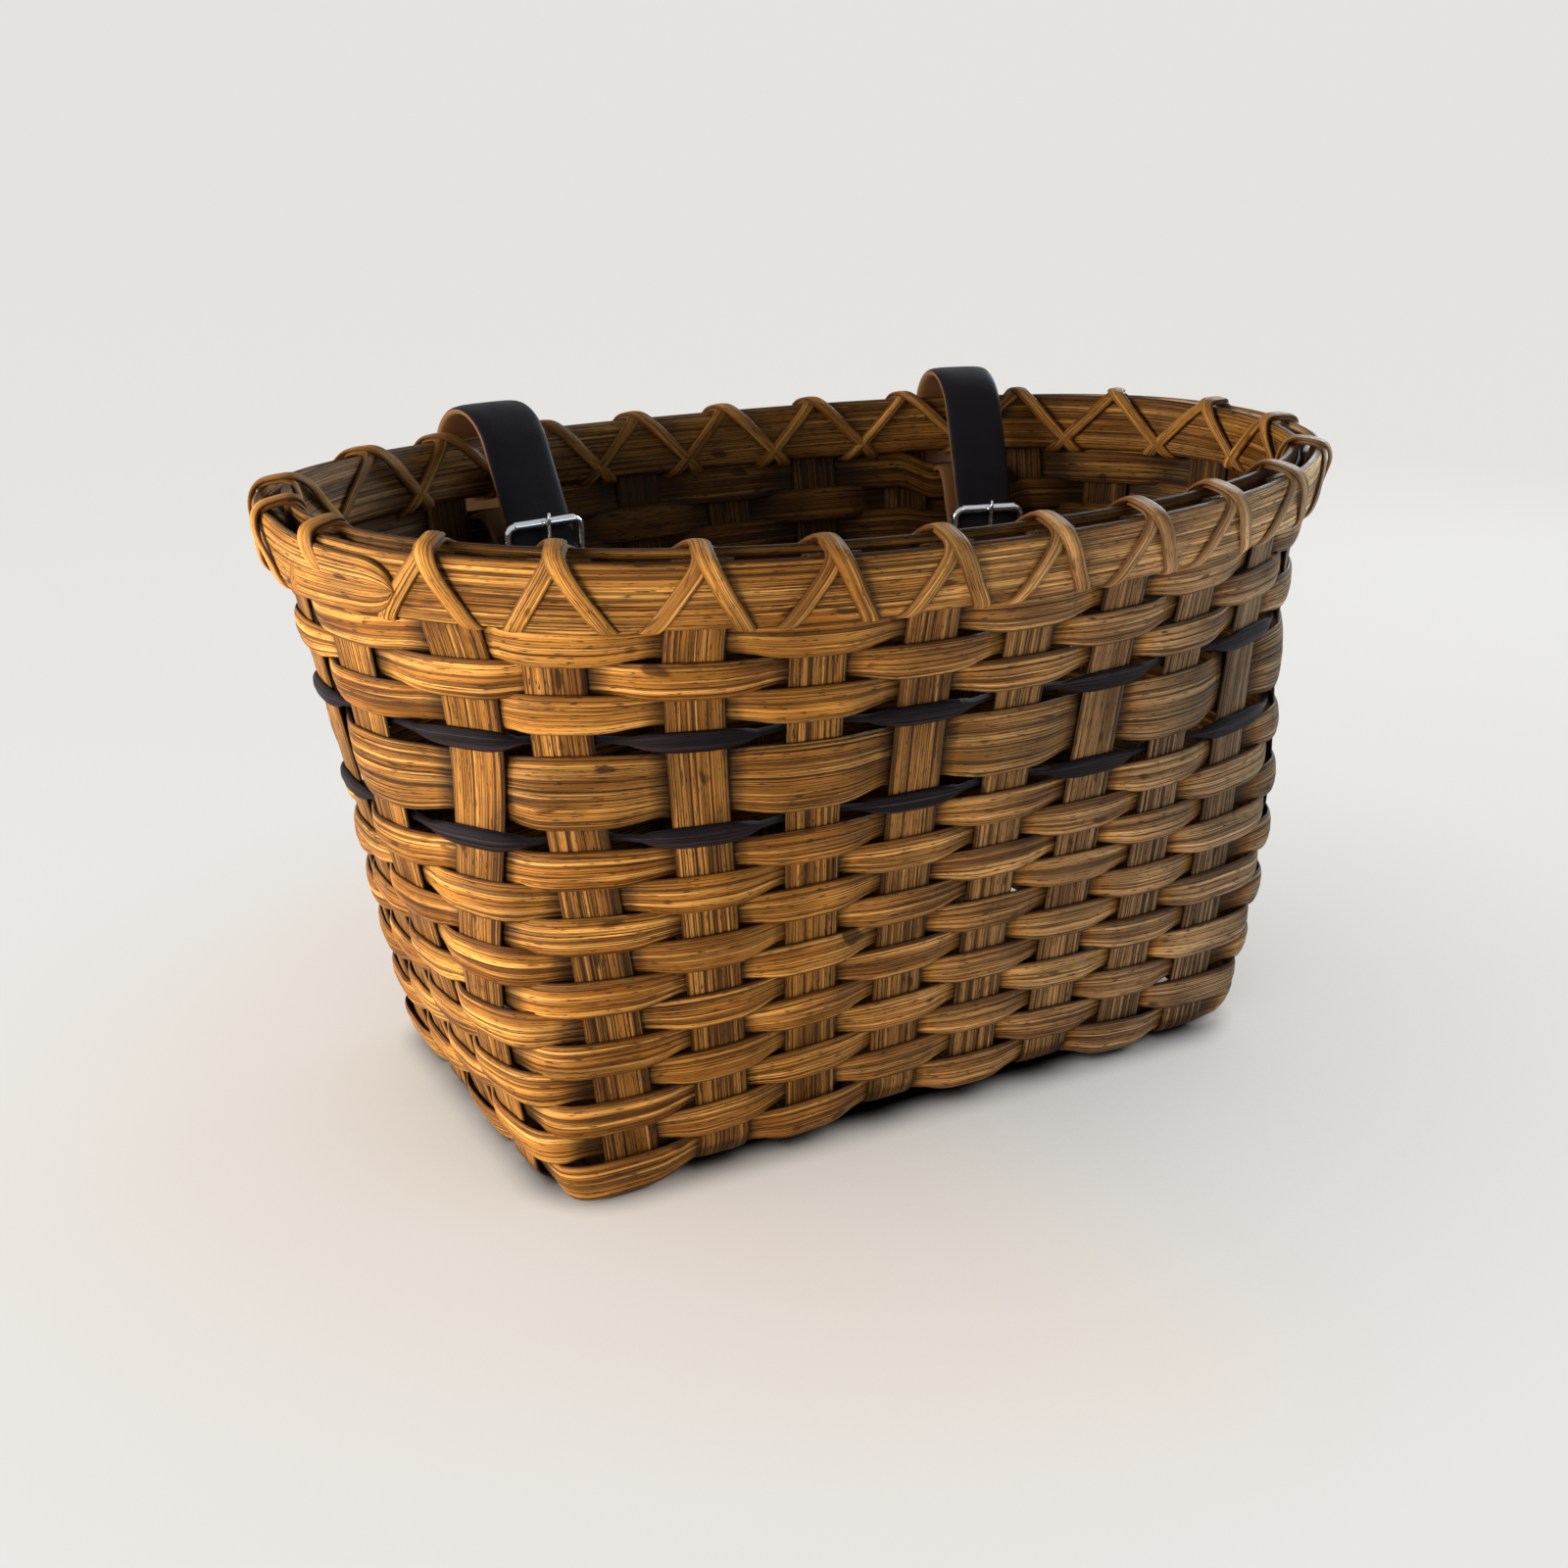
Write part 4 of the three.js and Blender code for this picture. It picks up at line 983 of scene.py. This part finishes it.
def strap_drawing(drape, distance, lean):
    """The strap's middle line in the plane across the rim, x inwards and y up from the loop's centre."""
    slope = math.radians(drape)
    billet = heading(-slope)
    billet_up = heading(math.pi / 2 - slope)

    def on_billet(run):
        return billet_up * STRAP_LOOP + billet * run

    free = on_billet(distance) + billet_up * billet_to_bar
    heel = on_billet(distance + frame_run) - billet_up * billet_to_heel
    fold_angle = FOLD_SLOPE - slope
    fold = heading(fold_angle)
    fold_up = Vector((-fold.y, fold.x))

    def from_heel(along, rise):
        return heel + fold * along + fold_up * rise

    tip = distance + frame_run + BILLET_TIP
    points = [on_billet(between(tip, 0, k / 24)) for k in range(24)]
    slot = 1.5 * math.pi + lean + math.asin(WALL_CLEAR / STRAP_LOOP)
    points += arc(Vector((0, 0)), STRAP_LOOP, math.pi / 2 - slope, slot)
    start = points[-1]
    end = from_heel(-FOLD_STRAIGHT, -fold_radius)
    soft = FOLD_BEND * (end - start).length
    pull_a = start + heading(slot + math.pi / 2) * soft
    pull_b = end - fold * soft
    for k in range(1, 17):
        t = k / 16
        ends = start * (1 - t) ** 3 + end * t**3
        points.append(ends + pull_a * (3 * t * (1 - t) ** 2) + pull_b * (3 * t * t * (1 - t)))
    points += [from_heel(between(-FOLD_STRAIGHT, 0, k / 8), -fold_radius) for k in range(1, 8)]
    pinch = math.pi / 2 + FOLD_PINCH
    points += arc(heel, fold_radius, fold_angle - math.pi / 2, fold_angle + pinch, math.radians(10))
    tab_rise = STRAP_THICKNESS + METAL_GAP - fold_radius
    tab_run = (fold_radius * math.sin(pinch) - tab_rise) / math.tan(FOLD_PINCH)
    tab_start = fold_radius * math.cos(pinch) - tab_run
    points += [from_heel(tab_start, tab_rise)]
    points += [from_heel(tab_start - FOLD_TAB * k / 4, tab_rise) for k in range(1, 5)]
    rivet = from_heel(tab_start - FOLD_TAB / 2, (tab_rise - fold_radius) / 2)
    return {"points": points, "free": free, "heel": heel, "fold_up": fold_up, "rivet": rivet}


class StrapPlace:
    """Where a strap hangs on the rear rim: its loop's centre, its inward and sideways directions."""

    def __init__(self, x, drape, distance, width):
        self.width = width
        rim = wall_point("rear", x, rim_middle(Vector((x, 0, 0))))
        outward = wall_outward(rim)
        turn = -math.atan2(outward.x, outward.y) * STRAP_TURN
        self.inward = Vector((math.sin(turn), -math.cos(turn), 0))
        self.axis = self.inward.cross(UP)
        self.centre = rim + UP * LOOP_LIFT
        rise = wall_point("rear", x, rim.z + 1) - wall_point("rear", x, rim.z - 1)
        self.drawing = strap_drawing(drape, distance, math.atan2(rise.y, rise.z))

    def way(self, flat):
        return self.inward * flat.x + UP * flat.y

    def place(self, flat, sideways=0):
        return self.centre + self.way(flat) + self.axis * sideways


strap_places = {}
for side, x, drape, distance, width in STRAP_PLACES:
    spot = StrapPlace(x, drape, distance, width)
    strap_section = reed_section(width, STRAP_THICKNESS, 0, 26)
    strap_places[side] = spot
    points = spot.drawing["points"]
    stations = []
    run = 0
    for k, flat in enumerate(points):
        after = points[min(k + 1, len(points) - 1)]
        before = points[max(k - 1, 0)]
        forward = (after - before).normalized()
        normal = spot.way(Vector((forward.y, -forward.x)))
        run += (flat - points[k - 1]).length if k else 0
        tip = rounded_end(run + TIP_BLUNT, TIP_ROUND)
        stations.append((spot.place(flat), spot.axis, normal, tip, 1))
    strap = strip_piece(f"strap_{side}", stations, strap_section, False, 50)
    dress(strap, f"{side}_strap", leather_finish, f"{side}_strap_loop")

# Buckles: bent wire frames with rounded corners, chromed, each with a prong rolled round its heel bar.
# The strap's free end runs through the frame, under the bar that carries the roller and over the heel bar.
# The prong goes through it, and its tapered tip rests on the free bar.
PRONG_DIAMETER = 2.2
PRONG_OVERHANG = 3.5
PRONG_STEPS = 12
PRONG_TAPER = 0.62
PRONG_POINT = 0.35
HUB_WIDTH = 3.4
HUB_WALL = 1.2
HUB_STEPS = 24
STRAP_SIDE = 0.6
CORNER_RADIUS = 3.2
CORNER_STEPS = 8
ROLLER_DIAMETER = 3.24
ROLLER_SHORT = 0.8
ROLLER_FORM = ((-1, 0.84), (-0.985, 0.96), (-0.96, 1), (0.96, 1), (0.985, 0.96), (1, 0.84))

chrome_finish, chrome, metal = new_finish("polished chrome")
metal.inputs["Metallic"].default_value = 1
chrome_place = chrome.nodes.new("ShaderNodeTexCoord")
scuff = cloud(chrome, chrome_place.outputs["Object"], 900, 3).outputs["Fac"]
connect(chrome, remap(chrome, scuff, 0.35, 0.75, 0.14, 0.22), metal.inputs["Roughness"])
tarnish = ramp(chrome, scuff, (0, (0.62, 0.63, 0.65)), (1, (0.84, 0.85, 0.87)))
connect(chrome, tarnish, metal.inputs["Base Color"])


def wire_section(diameter, sides=14):
    return [(diameter / 2 * c, diameter / 2 * s) for c, s in round_section(sides)]


def join_into(piece, extra):
    joined = bmesh.new()
    joined.from_mesh(piece.data)
    joined.from_mesh(extra.data)
    joined.to_mesh(piece.data)
    joined.free()
    bpy.data.objects.remove(extra)


for side, spot in strap_places.items():
    heel = spot.drawing["heel"]
    free = spot.drawing["free"]
    forward = (free - heel).normalized()
    frame_out = spot.way(Vector((forward.y, -forward.x)))
    half = spot.width / 2 + STRAP_SIDE + bar_radius
    corners = [
        (CORNER_RADIUS, half - CORNER_RADIUS, -90, 0),
        (FRAME_LENGTH - CORNER_RADIUS, half - CORNER_RADIUS, 0, 90),
        (FRAME_LENGTH - CORNER_RADIUS, CORNER_RADIUS - half, 90, 180),
        (CORNER_RADIUS, CORNER_RADIUS - half, 180, 270),
    ]
    outline = []
    for along, sideways, start, end in corners:
        for k in range(CORNER_STEPS + 1):
            angle = math.radians(between(start, end, k / CORNER_STEPS))
            ahead = CORNER_RADIUS * math.sin(angle)
            outline.append((along + ahead, sideways + CORNER_RADIUS * math.cos(angle)))
    points = [spot.place(heel + forward * along, sideways) for along, sideways in outline]
    stations = []
    for k, point in enumerate(points):
        way = (points[(k + 1) % len(points)] - points[k - 1]).normalized()
        stations.append((point, way.cross(frame_out), frame_out, 1, 1))
    wire = strip_piece(f"buckle_{side}", stations, wire_section(BAR_DIAMETER), True, 60)
    roller_half = (spot.width - ROLLER_SHORT) / 2
    sleeve = []
    for reach, girth in ROLLER_FORM:
        sleeve.append((spot.place(free, reach * roller_half), spot.way(forward), frame_out, girth, 1))
    roller_section = wire_section(ROLLER_DIAMETER, 20)
    join_into(wire, strip_piece(f"roller_{side}", sleeve, roller_section, False, 63))
    dress(wire, f"{side}_buckle_frame", chrome_finish, f"{side}_strap_loop")

    rise = bar_radius + METAL_GAP + PRONG_DIAMETER / 2
    outward = Vector((forward.y, -forward.x))
    tongue = []
    for k in range(PRONG_STEPS + 1):
        share = k / PRONG_STEPS
        reach = between(0, FRAME_LENGTH + PRONG_OVERHANG, share)
        thin = between(1, PRONG_TAPER, ease((share - 0.3) / 0.7))
        if k == PRONG_STEPS:
            thin = PRONG_POINT
        flat = heel + forward * reach + outward * rise
        tongue.append((spot.place(flat), spot.axis, spot.way(outward), thin, 1))
    prong = strip_piece(f"prong_{side}", tongue, wire_section(PRONG_DIAMETER), False, 61)
    hub_middle = bar_radius + METAL_GAP + HUB_WALL / 2
    hub = [(-HUB_WIDTH / 2, -HUB_WALL / 2), (HUB_WIDTH / 2, -HUB_WALL / 2)]
    hub += [(HUB_WIDTH / 2, HUB_WALL / 2), (-HUB_WIDTH / 2, HUB_WALL / 2)]
    ring_stations = []
    for k in range(HUB_STEPS):
        flat = heading(2 * math.pi * k / HUB_STEPS)
        ring_stations.append((spot.place(heel + flat * hub_middle), spot.axis, spot.way(flat), 1, 1))
    join_into(prong, strip_piece(f"roll_{side}", ring_stations, hub, True, 62))
    dress(prong, f"{side}_buckle_prong", chrome_finish, f"{side}_prong")

# Rivets: turned metal rivets with low domed heads, one through each strap where its end is folded back.
# The head on either face is set flush on the leather.
RIVET_HEAD_DIAMETER = 8
RIVET_HEAD_HEIGHT = 1.4
RIVET_SHANK_DIAMETER = 3.2
RIVET_EDGE = 0.94
RIVET_SINK = 0.2
RIVET_STEPS = 32

for side, spot in strap_places.items():
    half = STRAP_THICKNESS + METAL_GAP * 1.5
    head = RIVET_HEAD_DIAMETER / 2
    profile = [(0, half + RIVET_HEAD_HEIGHT)]
    for k in range(1, 7):
        angle = math.radians(15 * k)
        profile.append((head * math.sin(angle), half + RIVET_HEAD_HEIGHT * math.cos(angle)))
    profile += [(head * RIVET_EDGE, half - RIVET_SINK), (RIVET_SHANK_DIAMETER / 2, half - RIVET_SINK)]
    profile += [(radius, -height) for radius, height in reversed(profile)]
    bm = bmesh.new()
    corners = [bm.verts.new((radius * MM, 0, height * MM)) for radius, height in profile]
    for a, b in zip(corners, corners[1:]):
        bm.edges.new((a, b))
    line = bm.verts[:] + bm.edges[:]
    turn = 2 * math.pi
    bmesh.ops.spin(bm, geom=line, axis=(0, 0, 1), cent=(0, 0, 0), angle=turn, steps=RIVET_STEPS, use_merge=True)
    bmesh.ops.remove_doubles(bm, verts=bm.verts, dist=1e-7)
    for face in bm.faces:
        face.smooth = True
    tilt = spot.way(spot.drawing["fold_up"]).to_track_quat("Z", "Y").to_matrix().to_4x4()
    seat = Matrix.Translation(spot.place(spot.drawing["rivet"]) * MM)
    bmesh.ops.transform(bm, matrix=seat @ tilt, verts=bm.verts)
    rivet = finished_piece(f"rivet_{side}", bm)
    dress(rivet, f"{side}_strap_rivet", chrome_finish, f"{side}_strap_loop")

# Studio: a pale seamless paper sweep, a warm window on the left with a smaller one in front of it,
# and cool light from the right. Seen by the camera, in metal or through glass, the paper is pale by itself.
# Its glow and its faint lit part carry painted shade: a painted shadow under the base, painted shade beside the
# basket that is lighter on the lit left side, and a painted warm glow of light off the reed on that side.
PAPER_SIZE = 9.0
PAPER_RISE = 4.0
PAPER_CURVE = 1.8
PAPER_TURN = -29.6
PAPER_BRIGHTNESS = 0.97
# FOOTPRINT is where the painted shadow under the base ends, FOOTPRINT_SOFT how it fades out, and SHADE_REACH
# how far the painted shade beside the basket reaches.
FOOTPRINT = {"X": 0.098, "Y": 0.046}
FOOTPRINT_SOFT = (0.01, 0.03)
SHADE_REACH = 0.2

bm = bmesh.new()
bmesh.ops.create_grid(bm, x_segments=1, y_segments=1, size=PAPER_SIZE / 2)
far = [e for e in bm.edges if all(v.co.y > 0 for v in e.verts)]
lifted = bmesh.ops.extrude_edge_only(bm, edges=far)["geom"]
top_edge = [part for part in lifted if isinstance(part, bmesh.types.BMVert)]
bmesh.ops.translate(bm, vec=(0, 0, PAPER_RISE), verts=top_edge)
fold = [e for e in bm.edges if all(v.co.y > 0 and v.co.z < 0.1 for v in e.verts)]
bmesh.ops.bevel(bm, geom=fold, offset=PAPER_CURVE, segments=16, profile=0.5, affect="EDGES", material=-1)
for face in bm.faces:
    face.smooth = True
bmesh.ops.rotate(bm, verts=bm.verts, cent=(0, 0, 0), matrix=Matrix.Rotation(math.radians(PAPER_TURN), 3, "Z"))
paper = finished_piece("paper_sweep", bm)


def showing(tree):
    """1 for a ray that shows what it meets: straight to the camera, off metal or through glass."""
    rays = tree.nodes.new("ShaderNodeLightPath").outputs
    seen = reckon(tree, "MAXIMUM", rays["Is Camera Ray"], rays["Is Glossy Ray"])
    return reckon(tree, "MAXIMUM", seen, rays["Is Transmission Ray"])


paper_finish = bpy.data.materials.new("pale paper")
paper_finish.use_nodes = True
sheet = paper_finish.node_tree
sheet.nodes.clear()
paper_place = own_place(sheet)
from_left = paper_place["X"]
# Painted shadow: 0 under the base, rising to 1 just past its footprint.
past_base = sheet.nodes.new("ShaderNodeCombineXYZ")
for axis, near in FOOTPRINT.items():
    either_side = reckon(sheet, "ABSOLUTE", paper_place[axis])
    connect(sheet, remap(sheet, either_side, near, near + 1), past_base.inputs[axis])
away = sheet.nodes.new("ShaderNodeVectorMath")
away.operation = "LENGTH"
connect(sheet, past_base.outputs["Vector"], away.inputs[0])
beside = remap(sheet, away.outputs["Value"], *FOOTPRINT_SOFT, smooth=True)
# Painted shade from an occlusion test, made lighter toward the lit left side.
hollow = sheet.nodes.new("ShaderNodeAmbientOcclusion")
hollow.samples = 8
hollow.inputs["Distance"].default_value = SHADE_REACH
shade_depth = remap(sheet, from_left, -0.15, 0.03, 0.2, 0.4)
open_share = reckon(sheet, "POWER", remap(sheet, hollow.outputs["AO"], 0.18, 1), shade_depth)
shaded = reckon(sheet, "MULTIPLY", open_share, beside)
# Painted warm glow of light off the reed, on the paper to the left of the basket.
cool = reckon(sheet, "MAXIMUM", remap(sheet, from_left, -0.13, 0.06, 0.86, 1), shaded)
glow = sheet.nodes.new("ShaderNodeEmission")
pale = ramp(sheet, cool, (0.9, (0.85, 0.75, 0.665)), (1, (0.8, 0.79, 0.765)))
connect(sheet, pale, glow.inputs["Color"])
connect(sheet, reckon(sheet, "MULTIPLY", shaded, PAPER_BRIGHTNESS), glow.inputs["Strength"])
lit = sheet.nodes.new("ShaderNodeBsdfDiffuse")
# The paper's faint lit part is darkened by the same painted shade.
grey = ramp(sheet, shaded, (0, (0.004, 0.0035, 0.003)), (1, (0.05, 0.049, 0.048)))
connect(sheet, grey, lit.inputs["Color"])
shown = sheet.nodes.new("ShaderNodeAddShader")
connect(sheet, lit.outputs["BSDF"], shown.inputs[0])
connect(sheet, glow.outputs["Emission"], shown.inputs[1])
bounce = sheet.nodes.new("ShaderNodeBsdfDiffuse")
bounce.inputs["Color"].default_value = (0.78, 0.76, 0.73, 1)
choice = sheet.nodes.new("ShaderNodeMixShader")
paper_out = sheet.nodes.new("ShaderNodeOutputMaterial")
connect(sheet, showing(sheet), choice.inputs["Fac"])
connect(sheet, bounce.outputs["BSDF"], choice.inputs[1])
connect(sheet, shown.outputs["Shader"], choice.inputs[2])
connect(sheet, choice.outputs["Shader"], paper_out.inputs["Surface"])
paper.data.materials.append(paper_finish)


def soft_light(name, place, aim, size, power, colour):
    lamp = bpy.data.lights.new(name, "AREA")
    lamp.shape = "DISK"
    lamp.size = size
    lamp.energy = power
    lamp.color = colour
    stand = bpy.data.objects.new(name, lamp)
    stand.location = place
    stand.rotation_euler = (Vector(aim) - Vector(place)).to_track_quat("-Z", "Y").to_euler()
    bpy.context.scene.collection.objects.link(stand)


soft_light("window_left", (-0.82, 0.1, 0.34), (0, 0, 0.12), 0.4, 8, (1, 0.94, 0.86))
soft_light("window_front", (-0.6, -0.36, 0.14), (-0.05, 0, 0.1), 0.3, 2.8, (1, 0.92, 0.82))
soft_light("wall_right", (0.62, -0.75, 0.2), (0.05, 0, 0.1), 0.5, 1.8, (0.6, 0.79, 1))
soft_light("window_right", (0.8, 0.35, 0.5), (0.1, 0, 0.16), 0.4, 6, (0.78, 0.9, 1))
soft_light("ceiling", (0.1, -0.5, 1.6), (0, 0, 0), 1.4, 0.5, (0.9, 0.95, 1))

ROOM_LIGHT = 0.035
ROOM_SEEN = 0.6
world = bpy.data.worlds.new("room")
bpy.context.scene.world = world
world.use_nodes = True
room = world.node_tree.nodes["Background"]
room.inputs["Color"].default_value = (0.94, 0.97, 1, 1)
room_level = remap(world.node_tree, showing(world.node_tree), 0, 1, ROOM_LIGHT, ROOM_SEEN)
connect(world.node_tree, room_level, room.inputs["Strength"])

# Camera: the viewing angle of the photograph, from the front left and a little above the rim.
# The lens and its shift were fitted to points of the basket in the photo.
CAMERA_AZIMUTH = -29.61
CAMERA_ELEVATION = 19.61
CAMERA_ROLL = 0.39
CAMERA_DISTANCE = 0.62224
CAMERA_LENS = 45.73
CAMERA_TARGET = Vector((-0.002, 0, 0.0927))
CAMERA_SHIFT = (-0.0213, -0.017)

azimuth = math.radians(CAMERA_AZIMUTH)
elevation = math.radians(CAMERA_ELEVATION)
level = math.cos(elevation)
back = Vector((math.sin(azimuth) * level, -math.cos(azimuth) * level, math.sin(elevation)))
lens = bpy.data.cameras.new("camera")
lens.lens = CAMERA_LENS
lens.sensor_width = 36
lens.shift_x = CAMERA_SHIFT[0]
lens.shift_y = CAMERA_SHIFT[1]
camera = bpy.data.objects.new("camera", lens)
camera.location = CAMERA_TARGET + back * CAMERA_DISTANCE
upright = back.to_track_quat("Z", "Y")
camera.rotation_euler = (upright.to_matrix() @ Matrix.Rotation(math.radians(CAMERA_ROLL), 3, "Z")).to_euler()
bpy.context.scene.collection.objects.link(camera)
bpy.context.scene.camera = camera
bpy.context.scene.view_settings.view_transform = "Standard"
